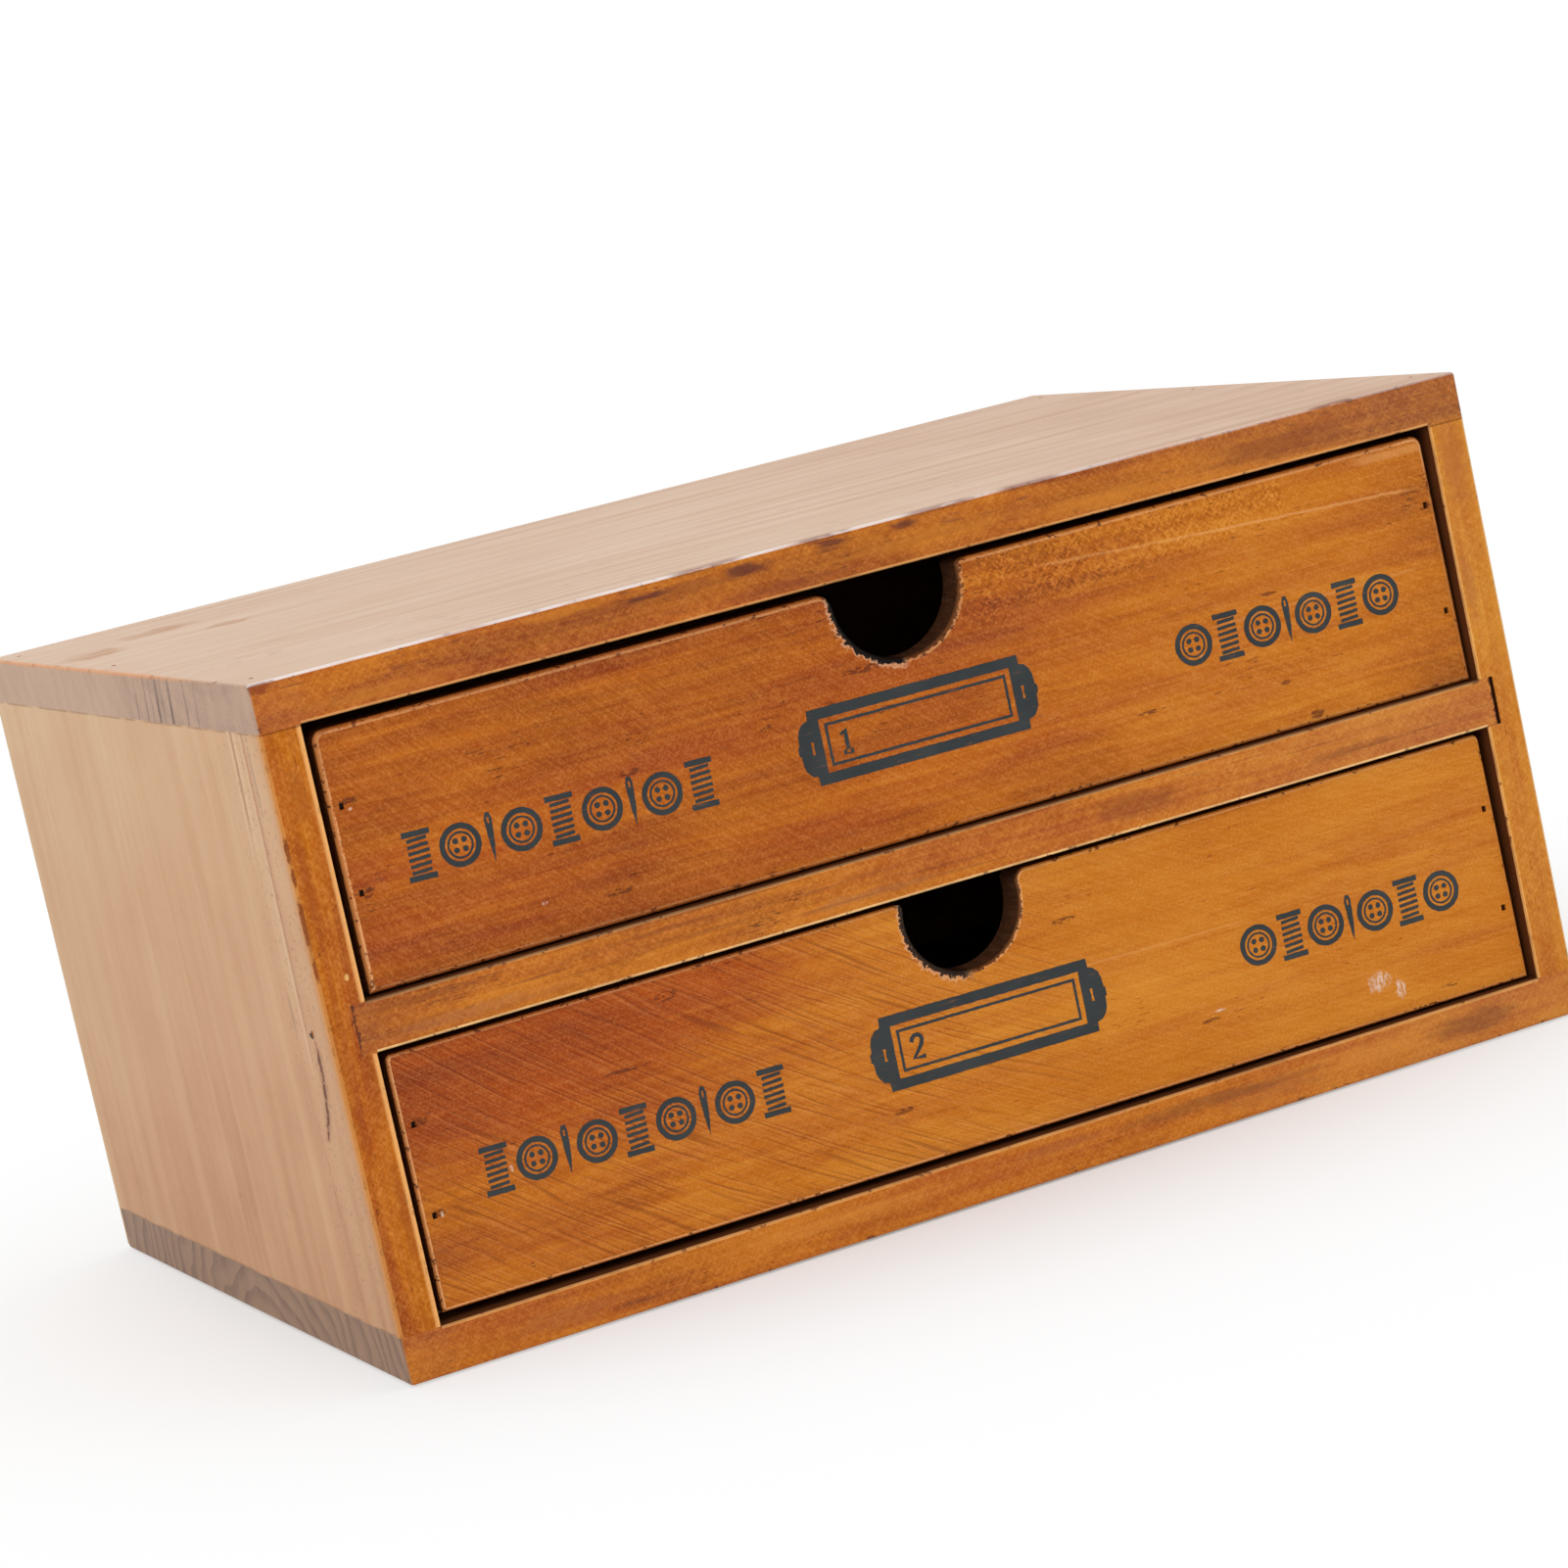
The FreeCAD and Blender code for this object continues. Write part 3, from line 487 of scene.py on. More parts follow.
def top_marks(paint, front):
    """Old stain near the back left corner, dark chips along the front's upper arris, and a painted highlight
    along that arris.
    """
    up = paint.nz.rise(0.6, 0.9)
    blot = paint.noise((14, 5, 4), 71, 3.0, 0.65)
    stain = total([
        spot(paint, paint.x, paint.y, (-116, 40), (7, 9), 0.3, 72),
        spot(paint, paint.x, paint.y, (-98, 56), (9, 6), 0.35, 73),
        spot(paint, paint.x, paint.y, (-89, 34), (5, 5), 0.35, 74),
    ]) * (blot.rise(0.38, 0.58) * 0.6 + 0.4)
    pink = paint.noise((60, 3.5, 3.5), 75, 3.0, 0.6).rise(0.54, 0.68)
    waves = paint.noise((85, 5.5, 5.5), 79, 3.0, 0.55).rise(0.46, 0.7) * paint.x.rise(-118, -70)
    scuff = paint.noise((5, 8, 3), 80, 3.0, 0.6).rise(0.62, 0.7) * paint.y.rise(20, -30)
    edge = paint.noise((20, 3, 3), 76, 2.0).rise(0.25, 0.5) * paint.x.rise(110, -30)
    # Painted highlight: near-white light along the upper half of the top's front arris, stronger at the left.
    gleam = paint.nz.rise(0.32, 0.5) * paint.nz.rise(0.9995, 0.98) * (-paint.ny).rise(0.02, 0.1)
    worn_end = (-paint.nx).rise(0.1, 0.3) * paint.nz.rise(0.1, 0.3) * paint.y.rise(-80, -20)
    ragged = paint.noise((11, 4, 1.2), 77, 3.0, 0.7)
    chips = total([abs(paint.x - middle).rise(half, half * 0.5) for middle, half in (
        (-36, 9), (-12, 7), (12, 9), (31, 8), (97, 6))])
    chips = chips * paint.z.rise(127.7, 128.5) * ragged.rise(0.4, 0.5) * (
        paint.y + ragged * 9).rise(-85.2, -87.4)
    streak = front * paint.noise((9, 9, 1.6), 78, 3.0, 0.6).rise(0.6, 0.7) * paint.z.rise(120, 125)
    specks = clouds(paint, [((-28.4, 126.5), (4.2, 1.1)), ((-11.0, 127.1), (3.6, 1.0)),
                            ((4.0, 127.3), (3.4, 0.7)), ((-49.0, 126.2), (4.0, 0.5))], 771, 0.45)
    brown = clouds(paint, [((-46.0, 126.0), (22, 1.2)), ((86.0, 124.2), (15, 2.6)),
                           ((-22.0, 121.9), (12, 0.9))], 781)
    gold = clouds(paint, [((-66.0, 127.4), (9, 0.9)), ((8.0, 123.8), (22, 1.3)), ((46.0, 122.6), (18, 1.6)),
                          ((-100.0, 122.2), (16, 1.2))], 791)
    corner = spot(paint, paint.x, paint.z, (-124.6, 128.4), (5.0, 1.8), 0.3, 799)
    return [
        (waves * up * 0.55, (184, 138, 102)),
        (pink * up * 0.3, (206, 158, 136)),
        (scuff * up * 0.3, (178, 136, 112)),
        (stain * up * 0.8, (178, 124, 76)),
        (gleam * (edge * 0.5 + 0.22), (242, 238, 236)),
        (worn_end * 0.6, (226, 150, 88)),
        (chips * 0.6, (126, 62, 26), 0.1),
        (brown * front * 0.5, (128, 58, 24)),
        (gold * front * 0.4, (206, 128, 34)),
        (streak * 0.5, (112, 50, 34), 0.05),
        (specks * front * 0.8, (92, 38, 28), 0.06),
        (corner * front * 0.6, (120, 42, 18)),
    ]


def top_end(paint, grain):
    """Smooth behind; greyer, with thin upright dark lines, towards the front."""
    lean = paint.y + (paint.z - 125) * 0.2 + (grain.patches - 0.5) * 0.8
    lines = total([abs(lean - place).rise(width, width * 0.2) * share
                   for place, width, share in ((-18.9, 0.5, 0.6), (-25.4, 0.6, 0.8), (-29.4, 0.5, 0.6),
                                               (-33.6, 1.0, 1.0), (-36.6, 0.4, 0.5), (-42.0, 1.2, 1.0),
                                               (-52.0, 0.7, 0.5), (-58.5, 0.5, 0.5))])
    return paint.y.rise(6, -14) * -0.16 - lines * (0.3 + paint.z.rise(129, 121) * 0.24) - grain.rings * 0.05


def bottom_end(paint, grain):
    """The rings of a board cut near its heart."""
    return grain.rings * -0.26


def top_seam(paint, front):
    """The dark joint of a side board and the top board."""
    return abs(paint.z - TOP_JOINT).rise(0.3, 0.12) * front


def side_marks(paint, front):
    """On the left board: a crack below the shelf's brad, planer grooves, and stain over the front arris."""
    outside = (-paint.nx).rise(0.6, 0.9)
    wander = paint.noise((3, 3, 2.0), 81, 3.0, 0.65) - 0.5
    fallen = (62.0 - paint.z) / 17.5
    crack_line = paint.y + 84.3 - fallen * fallen * 6.0 + wander * 2.4
    broken = paint.noise((4, 4, 1.8), 82, 2.0).rise(0.36, 0.46)
    length = paint.z.rise(43.4, 45.0) * paint.z.rise(62.6, 60.6)
    splinter = paint.noise((1.2, 1.2, 0.9), 825, 2.0, 0.6) - 0.5
    crack = (abs(crack_line + splinter * 2.2) + splinter).rise(0.95, 0.35) * length * broken
    bruise = abs(crack_line + splinter * 1.6).rise(2.6, 0.3) * length
    bruise = bruise.most(spot(paint, paint.y, paint.z, (-84.0, 61.6), (0.9, 2.2), 0.3, 821))
    smudge = spot(paint, paint.y, paint.z, (-73.6, 67.4), (0.9, 4.4), 0.3, 822).most(
        spot(paint, paint.y, paint.z, (-84.6, 111.0), (0.9, 7.5), 0.4, 823))
    hole = spot(paint, paint.y, paint.z, (-82.8, 64.2), (1.5, 0.65), 0.2, 824)

    first = paint.y + 81.2 + (paint.z - 119) * 0.05 + wander * 0.7
    second = paint.y + 76.1 + (paint.z - 119) * 0.075 + wander * 0.5
    high = paint.z.rise(86, 104)
    ridges = total([abs(first).rise(0.9, 0.3) * paint.z.rise(48, 66), abs(second - 1.7).rise(0.8, 0.3) * high,
                    abs(second + 1.6).rise(0.8, 0.2) * high * 0.8])
    grooves = total([abs(first + 1.5).rise(0.8, 0.3) * paint.z.rise(56, 70) * 0.7,
                     abs(second).rise(0.9, 0.3) * paint.z.rise(99, 106)])
    wide = paint.noise((4, 7.0, 260), 84, 2.0, 0.5)
    ticks = paint.noise((3, 1.4, 0.8), 85, 2.0).rise(0.62, 0.68) * paint.y.rise(-62, -76)
    joint = abs(paint.z - 119.9).rise(0.45, 0.15).most(abs(paint.z - 9.1).rise(0.4, 0.15))
    joint = joint * paint.noise((9, 9, 9), 88, 3.0, 0.6).rise(0.36, 0.54)

    sided = (-paint.nx).rise(0.1, 0.25)
    torn = paint.noise((1.6, 1.6, 2.2), 86, 3.0, 0.6)
    golden = sided * (paint.y + (torn - 0.5) * 2.6).rise(-90.6, -92.4)
    drips = (((-93.5, 98.8), (0.8, 2.6)), ((-93.5, 94.0), (0.6, 1.8)), ((-93.4, 85.4), (0.9, 5.0)),
             ((-93.6, 77.0), (0.6, 2.4)))
    runs = spot_group(paint, paint.y, paint.z, drips, 0.3, 870)
    rim = front * paint.x.rise(-118.3, -117.7)
    red = clouds(paint, [((-118.8, 77.0), (0.7, 8)), ((-122.5, 92.0), (1.2, 9)), ((-120.6, 108.0), (1.4, 6)),
                         ((-119.0, 30.0), (1.0, 9)), ((-123.0, 48.0), (1.0, 7))], 891, 0.4)
    paler = spot(paint, paint.x, paint.z, (-119.4, 74.4), (0.4, 0.7), 0.3, 898)
    return [
        (wide.rise(0.5, 0.72) * outside * 0.2, (202, 150, 116)),
        (wide.rise(0.48, 0.3) * outside * 0.25, (222, 188, 146)),
        (grooves * outside * 0.6, (170, 112, 84), 0.08),
        (ridges * outside * 0.5, (228, 194, 160), -0.05),
        (ticks * outside * 0.35, (150, 104, 84), 0.05),
        (smudge * outside * 0.35, (150, 116, 104)),
        (bruise * outside * 0.5, (156, 100, 72)),
        (crack * outside * 0.85, (100, 50, 30), 0.15),
        (hole * outside * 0.95, (22, 10, 8)),
        (joint * outside * 0.45, (128, 90, 70), 0.1),
        (golden * 0.65, (214, 146, 76)),
        (runs * sided * 0.8, (126, 56, 24)),
        (red * front * 0.4, (146, 66, 28)),
        (paler * front * 0.8, (238, 190, 112)),
        (rim * 0.66, (250, 186, 114)),
        (top_seam(paint, front) * 0.6, (112, 52, 20), 0.06),
    ]


def bottom_marks(paint, front):
    """Dark, red and golden stains along the board's front."""
    dark = clouds(paint, [((42.0, 5.6), (19, 1.3)), ((101.0, 4.6), (9, 2.2)),
                          ((-80.0, 2.4), (4.0, 0.5))], 911, 0.35)
    red = clouds(paint, [((54.0, 4.0), (12, 2.0)), ((-93.0, 3.8), (10, 2.0)), ((8.0, 6.0), (9, 1.0))], 921)
    gold = clouds(paint, [((78.0, 5.0), (12, 2.0)), ((-35.0, 5.4), (22, 1.5))], 931)
    return [(red * front * 0.35, (158, 86, 50)), (gold * front * 0.35, (222, 146, 58)),
            (dark * front * 0.45, (104, 58, 36))]


def right_marks(paint, front):
    """Pinkish brown at the top of the stile, and its pale outer arris."""
    brown = clouds(paint, [((121.0, 112.0), (3.0, 9)), ((119.0, 88.0), (1.4, 8))], 941)
    outer = paint.nx.rise(0.15, 0.4) * front.most((-paint.ny).rise(0.1, 0.3))
    return [(brown * front * 0.4, (168, 96, 56)), (outer * 0.6, (244, 206, 150)),
            (top_seam(paint, front) * 0.6, (112, 56, 24), 0.06)]


def shelf_marks(paint, front):
    """Ragged dark joints where the shelf's ends meet the side boards, and streaks between."""
    wander = (paint.noise((3, 3, 1.4), 91, 3.0, 0.7) - 0.5) * 2.4
    ends = abs(paint.x + 120.0 + wander).rise(0.55, 0.2).most(abs(paint.x - 119.5 + wander).rise(0.6, 0.2))
    scratch = paint.noise((22, 3, 0.7), 92, 2.0, 0.6).rise(0.6, 0.7)
    dark = clouds(paint, [((-106.0, 67.2), (12, 0.8)), ((39.0, 64.8), (9, 2.4)), ((-58.0, 66.8), (9, 0.5)),
                          ((-84.0, 65.0), (7, 0.4)), ((86.0, 63.2), (9, 0.8))], 951, 0.4)
    grey = clouds(paint, [((-98.0, 62.4), (16, 1.2)), ((-20.0, 62.6), (12, 0.9))], 961)
    return [(grey * front * 0.3, (150, 100, 70)), (scratch * front * 0.35, (126, 66, 30), 0.04),
            (dark * front * 0.45, (122, 56, 24), 0.03), (ends * front * 0.85, (84, 34, 18), 0.15)]


# ---------------------------------------------------------------- materials of the CAD nodes

def dress(name, material):
    """Give a CAD node its material."""
    slots = NODES[name].data.materials
    slots.clear()
    slots.append(material)


def side_shade(paint):
    """The sides' pale tones, with their painted sheen, are darker towards the bottom and the front."""
    return (paint.z - 70) * 0.0032 + paint.y * 0.001


def left_front_shade(paint):
    return -0.01 - paint.z.rise(90, 120) * 0.06


top = case_paint("pine_top", "x", 11, TOP_TONES_WITH_SHEEN, inner=lambda paint: -paint.nz, ring_width=7.0,
                 heart=(-60.0, 190.0), front_shade=lambda paint: paint.x.rise(-110, -40) * -0.06 - 0.03,
                 shade=lambda paint: paint.x.rise(-20, 125) * -0.14, end_tones=END_TOP, end=top_end,
                 marks=top_marks, wear=lambda paint: paint.nz.rise(-0.02, -0.1) * 0.6)
bottom = case_paint("pine_bottom", "x", 12, SIDE_TONES_WITH_SHEEN, inner=lambda paint: paint.nz, ring_width=5.5,
                    heart=(8.0, -26.0), front_shade=lambda paint: paint.x.rise(-60, 90) * 0.12,
                    redness=0.2, end_tones=END_BOTTOM, end=bottom_end, marks=bottom_marks,
                    wear=lambda paint: paint.nz.rise(0.02, 0.1) * 0.55)
left = case_paint("pine_left", "z", 13, SIDE_TONES_WITH_SHEEN, inner=lambda paint: paint.nx, ring_width=9.0,
                  heart=(-200.0, 30.0), front_shade=left_front_shade, redness=0.4, shade=side_shade,
                  marks=side_marks, wear=lambda paint: paint.nx.rise(0.02, 0.1) * 0.95, gloss=0.06)
right = case_paint("pine_right", "z", 14, SIDE_TONES_WITH_SHEEN, inner=lambda paint: -paint.nx, ring_width=8.0,
                   heart=(190.0, -50.0), front_shade=lambda paint: nowhere(paint) + 0.23, redness=0.0,
                   shade=side_shade, marks=right_marks, wear=lambda paint: paint.nx.rise(-0.02, -0.1) * 0.7,
                   gloss=0.06)
shelf = case_paint("pine_shelf", "x", 15, INSIDE, inner=lambda paint: abs(paint.nz), ring_width=3.2,
                   heart=(-20.0, 90.0), redness=0.15, marks=shelf_marks, edge_tone=CREAM,
                   front_shade=lambda paint: paint.x.rise(-110, 110) * 0.13 - 0.04,
                   wear=lambda paint: abs(paint.nz).rise(0.02, 0.1) * (paint.nz.rise(0.0, -0.1) * 0.75 + 0.2))
for board, material in (("top_board", top), ("bottom_board", bottom), ("left_side_board", left),
                        ("right_side_board", right), ("divider_shelf", shelf)):
    dress(board, material)


UPPER_FINGER = ((0.7, 116.0), 13.0)
LOWER_FINGER = ((0.3, 54.9), 12.0)


def upper_scoring(paint):
    return paint.x.rise(20, -60) * 0.12 + 0.05


def upper_shade(paint):
    """Darker towards the left and at the right end."""
    return paint.x.rise(20, 60) * 0.05 - paint.x.rise(88, 112) * 0.08 - paint.x.rise(60, -60) * 0.05


def upper_redness(paint):
    return 0.68 - paint.x.rise(-20, 80) * 0.55


def edge_wear(paint, left_side, right_side, over, under):
    """The shares of wear along the four edges of a front."""
    return total([turned(-paint.nx) * left_side, turned(paint.nx) * right_side,
                  turned(paint.nz) * over, turned(-paint.nz) * under])


def upper_wear(paint):
    """Wide and ragged on the left, thin on top, cream at the right corner, worn at the finger cut-out."""
    corner = paint.x.rise(106, 112) * paint.z.rise(108, 114) * turned(1.0 + paint.ny, 0.002, 0.02)
    left_side = paint.z.rise(112, 100) * 0.45 + 0.5
    return edge_wear(paint, left_side, right_side=0.3, over=0.55, under=0.3).most(corner)


def lower_scoring(paint):
    return paint.x.rise(35, -25) * 0.6 + paint.x.rise(70, 0) * 0.2 + 0.05


def lower_shade(paint):
    """Red-brown upper left corner and a light right half."""
    corner = paint.x.rise(-20, -90) * paint.z.rise(26, 50)
    return paint.x.rise(-110, 0) * 0.08 + 0.03 - corner * 0.08


def lower_redness(paint):
    corner = paint.x.rise(-10, -80) * paint.z.rise(22, 50)
    return corner * 0.7 + paint.x.rise(10, -100) * 0.35 + paint.z.rise(40, 56) * paint.x.rise(20, -40) * 0.3


def lower_wear(paint):
    """Bright along the bottom and the left, thin on top."""
    return edge_wear(paint, 0.9, 0.2, 0.45, under=paint.x.rise(110, -20) * 0.6 + 0.4)


def upper_ragged(paint):
    """Chipped along the left end and round the finger cut-out, most on its left."""
    middle = UPPER_FINGER[0]
    left_rim = paint.x.rise(middle[0] + 4, middle[0] - 4) * paint.x.rise(middle[0] - 16, middle[0] - 14)
    right_rim = finger(paint, UPPER_FINGER).rise(3, 2) * 1.7
    left_end = paint.x.rise(-113, -114) * paint.z.rise(80, 84) * paint.z.rise(108, 104)
    return (left_rim * 3.2).most(left_end * 1.9).most(right_rim).most(0.9)


def lower_ragged(paint):
    middle = LOWER_FINGER[0]
    left_rim = paint.x.rise(middle[0] + 5, middle[0] - 3) * paint.x.rise(middle[0] - 15, middle[0] - 13)
    return (left_rim * 2.5).most(finger(paint, LOWER_FINGER).rise(3, 2) * 1.6).most(0.8)


UPPER_SPOTS = [
    ((-30.4, 97.0), (1.5, 0.8)), ((-57.8, 96.0), (3.0, 0.7)), ((-65.0, 75.4), (3.2, 0.7)),
    ((-17.0, 97.6), (2.6, 1.3)), ((47.6, 80.6), (3.4, 0.45)), ((76.0, 96.4), (2.2, 0.4)),
    ((76.5, 79.0), (1.2, 0.5)), ((82.0, 71.4), (1.8, 1.0)), ((-9.0, 103.0), (5.0, 0.8)),
    ((-111.0, 104.4), (2.0, 0.8)), ((-111.4, 87.6), (1.3, 0.9)), ((114.0, 104.6), (1.4, 0.9)),
]
UPPER_PALE = [((-79.6, 77.2), (0.6, 0.4)), ((-96.0, 90.6), (0.4, 0.7)), ((60.0, 88.0), (0.5, 0.4)),
              ((-111.2, 103.0), (0.5, 0.3))]
UPPER_LINES = [((60, 114, 111.2), -0.046, 0.4, 0.42), ((60, 112, 93.0), 0.01, 0.4, 0.2),
               ((98, 122, 116.6), -0.02, 1.2, 0.34), ((28, 66, 113.2), -0.06, 0.4, 0.3)]
LOWER_SPOTS = [
    ((-61.0, 54.6), (2.6, 1.0)), ((-71.4, 43.6), (5.0, 0.4)), ((-97.0, 14.2), (0.5, 0.5)),
    ((46.0, 20.0), (2.4, 0.4)), ((99.0, 12.6), (2.4, 0.45)), ((20.0, 47.0), (3.0, 0.5)),
    ((-20.0, 21.0), (2.6, 0.6)), ((-111.9, 45.4), (1.5, 0.9)), ((-112.0, 28.4), (1.3, 0.8)),
]
LOWER_PALE = [((83.3, 17.4), (2.8, 1.9)), ((87.8, 14.8), (1.2, 2.0)), ((48.6, 21.4), (1.5, 0.25)),
              ((-97.0, 32.4), (0.4, 0.8)), ((-111.6, 28.0), (0.3, 0.6))]
LOWER_LINES = [((-10, 60, 38.0), -0.02, 0.4, 0.2)]

dress("upper_front", front_paint(
    "pine_upper_front", 21, (286.0, 436.0), UPPER_FINGER, upper_scoring, upper_shade, upper_redness,
    upper_wear, upper_ragged, UPPER_SPOTS, UPPER_PALE, UPPER_LINES, torn_grain))
dress("lower_front", front_paint(
    "pine_lower_front", 22, (230.0, 450.0), LOWER_FINGER, lower_scoring, lower_shade, lower_redness,
    lower_wear, lower_ragged, LOWER_SPOTS, LOWER_PALE, LOWER_LINES))


def plain_paint(name, along, seed, tones, roughness=0.55, coat=0.0):
    """Board or panel that shows only when a drawer is open, or at the back."""
    paint = Paint(name)
    grain = Grain(paint, along, seed, 5.0)
    colour = paint.tones(grain.level(middle=0.6, clouds=0.3, fibres=0.35, mottle=0.25), tones)
    return paint.finish(colour, roughness + grain.mottle * 0.15, grain.relief(0.04), coat=coat)


drawer_sides = plain_paint("pine_drawer_sides", "y", 31, PINE)
drawer_back = plain_paint("pine_drawer_back", "x", 32, PINE)
drawer_bottom = plain_paint("plywood_bottom", "y", 33, PANEL, 0.6)
for drawer in ("upper", "lower"):
    dress(f"{drawer}_left_side", drawer_sides)
    dress(f"{drawer}_right_side", drawer_sides)
    dress(f"{drawer}_back", drawer_back)
    dress(f"{drawer}_bottom", drawer_bottom)
dress("back_panel", plain_paint("plywood_back", "x", 34, PANEL, 0.62))


def brad_paint():
    """Dull steel, darkened in its hole."""
    paint = Paint("steel_brad")
    rust = paint.noise((0.8, 0.8, 0.8), 41, 3.0, 0.6)
    colour = paint.tones(rust, ((30, 22, 18), (58, 48, 42), (92, 84, 78)))
    return paint.finish(colour, 0.4 + rust * 0.3, rust * 0.04, metallic=0.8)


brad = brad_paint()
for node in NODES:
    if node.endswith("_brads"):
        dress(node, brad)


# ---------------------------------------------------------------- printed figures

INK_SEED = 7
INK_THICKNESS = 0.07
INK_DEPTH = 0.03


def ink_paint():
    """Dark slate ink, thin where the wood's fibres stand up."""
    paint = Paint("slate_ink")
    cover = paint.noise((5.0, 1.0, 0.5), 51, 3.0, 0.7)
    tint = paint.tones(paint.noise((6, 6, 6), 52, 2.0), ((26, 33, 36), (40, 47, 49), (56, 61, 60)))
    colour = paint.mix(cover.rise(0.6, 0.76) * 0.6, tint, (140, 82, 40))
    return paint.finish(colour, 0.5 + cover * 0.1, cover * 0.03)


INK = ink_paint()
noise.seed_set(INK_SEED)  # without it the ink's outlines differ from run to run


def rectangle(left, low, right, high):
    return [(left, low), (right, low), (right, high), (left, high)]


def ring(centre, radius, count=40):
    return [(centre[0] + radius * math.cos(2 * math.pi * step / count),
             centre[1] + radius * math.sin(2 * math.pi * step / count)) for step in range(count)]


def stroke(points, width):
    """A closed loop round a line of points, with square ends."""
    left_side, right_side = [], []
    for index, point in enumerate(points):
        before = points[max(index - 1, 0)]
        after = points[min(index + 1, len(points) - 1)]
        way = Vector((after[0] - before[0], after[1] - before[1])).normalized()
        side = Vector((-way.y, way.x)) * width / 2
        left_side.append((point[0] + side.x, point[1] + side.y))
        right_side.append((point[0] - side.x, point[1] - side.y))
    return left_side + right_side[::-1]


def feathered(loop, step=0.7, amount=0.09):
    """The loop with more points on it, each a little off its line, as ink bleeds on wood."""
    points = []
    for start, end in zip(loop, loop[1:] + loop[:1]):
        span = math.dist(start, end)
        pieces = max(1, round(span / step))
        for piece in range(pieces):
            share = piece / pieces
            across = start[0] + (end[0] - start[0]) * share
            up = start[1] + (end[1] - start[1]) * share
            shift = noise.noise_vector(Vector((across, up, 0.0)) * 1.9) * amount
            points.append((across + shift.x, up + shift.y))
    return points


def print_on(name, drawer, loops):
    """A thin plate of ink on a drawer's front. Loops inside loops are left bare."""
    curve = bpy.data.curves.new(name, "CURVE")
    curve.dimensions = "2D"
    curve.fill_mode = "BOTH"
    curve.extrude = INK_THICKNESS / 2 * MM
    for loop in loops:
        points = feathered(loop)
        spline = curve.splines.new("POLY")
        spline.points.add(len(points) - 1)
        for target, (across, up) in zip(spline.points, points):
            target.co = (across * MM, up * MM, 0.0, 1.0)
        spline.use_cyclic_u = True
    holder = bpy.data.objects.new(name + "_outline", curve)
    bpy.context.scene.collection.objects.link(holder)
    bpy.context.view_layer.update()
    mesh = bpy.data.meshes.new_from_object(holder.evaluated_get(bpy.context.evaluated_depsgraph_get()))
    bpy.data.objects.remove(holder)
    depth = FRONT_PLANE - INK_THICKNESS / 2 + INK_DEPTH
    mesh.transform(Matrix.Translation((0, depth * MM, 0)) @ Matrix.Rotation(math.radians(90), 4, "X"))
    mesh.name = name
    mesh.materials.clear()
    mesh.materials.append(INK)
    plate = bpy.data.objects.new(name, mesh)
    bpy.context.scene.collection.objects.link(plate)
    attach(plate, f"{drawer}_drawer")
    return plate


def button_loops(width, height):
    """A plain four-hole button, drawn in outline."""
    radius = width / 2
    centre = (radius, height / 2)
    loops = [ring(centre, radius), ring(centre, radius - 1.05), ring(centre, radius - 1.5),
             ring(centre, radius - 1.9)]
    holes = [(centre[0] + across * 0.85, centre[1] + up * 0.85) for across in (-1, 1) for up in (-1, 1)]
    return loops + [ring(hole, 0.55, 14) for hole in holes]


def spool_loops(width, height):
    """A wooden thread spool with slanting turns of thread."""
    rim = 1.05
    loops = [rectangle(0, 0, width, rim), rectangle(0, height - rim, width, height)]
    turns = 6
    pitch = (height - 2 * rim) / turns
    for turn in range(turns):
        low = rim + pitch * turn + 0.17
        bulge = 0.25 * math.sin(math.pi * (turn + 0.5) / turns)
        inset = width * 0.16 - bulge
        thick = pitch * 0.54
        loops.append([(inset, low), (width - inset, low + 0.22), (width - inset, low + 0.22 + thick),
                      (inset, low + thick)])
    return loops


def needle_loops(width, height):
    """A sewing needle with its eye."""
    middle = width / 2
    outline = [(middle, 0), (middle + width * 0.32, height * 0.35), (middle + width / 2, height * 0.86),
               (middle + width * 0.25, height), (middle - width * 0.25, height),
               (middle - width / 2, height * 0.86), (middle - width * 0.32, height * 0.35)]
    eye = [(middle - 0.18, height * 0.78), (middle + 0.18, height * 0.78), (middle + 0.22, height * 0.9),
           (middle - 0.22, height * 0.9)]
    return [outline, eye]


FIGURES = {"button": (button_loops, 8.0), "spool": (spool_loops, 5.4), "needle": (needle_loops, 1.5)}
FIGURE_HEIGHT = 9.1


def row_of_figures(name, drawer, kinds, start, end):
    """Figures set side by side on a baseline from start to end, both (x, z)."""
    widths = [FIGURES[kind][1] for kind in kinds]
    length = math.dist(start, end)
    gap = (length - sum(widths)) / (len(kinds) - 1)
    way = Vector((end[0] - start[0], end[1] - start[1])) / length
    loops = []
    along = 0.0
    for kind, width in zip(kinds, widths):
        for loop in FIGURES[kind][0](width, FIGURE_HEIGHT):
            loops.append([(start[0] + (along + x) * way.x - z * way.y,
                           start[1] + (along + x) * way.y + z * way.x) for x, z in loop])
        along += width + gap
    return print_on(name, drawer, loops)


LABEL_HALF = (22.0, 7.1)
LABEL_INSETS = (2.05, 3.05, 3.6)


def label_loops():
    """The outline of a card holder with an ear at each end, and a thin line inside it."""
    half_width, half_height = LABEL_HALF
    upper_ear = [(0.1, 5.3), (1.2, 5.0), (2.1, 4.0), (2.5, 2.8), (2.65, 1.0), (3.0, 0.75)]
    ear = upper_ear + [(x, -z) for x, z in reversed(upper_ear)]
    right_side = [(half_width, half_height), *((half_width + x, z) for x, z in ear),
                  (half_width, -half_height)]
    left_side = [(-x, -z) for x, z in right_side]
    loops = [right_side + left_side]
    for inset in LABEL_INSETS:
        wide, high = half_width - inset, half_height - inset
        loops.append(rectangle(-wide, -high, wide, high))
    for side in (-1, 1):
        middle = side * half_width
        loops.append([(middle - 0.3, -1.2), (middle + 0.3, -1.2), (middle + 0.2, 0.0), (middle + 0.3, 1.2),
                      (middle - 0.3, 1.2), (middle - 0.2, 0.0)])
    return loops


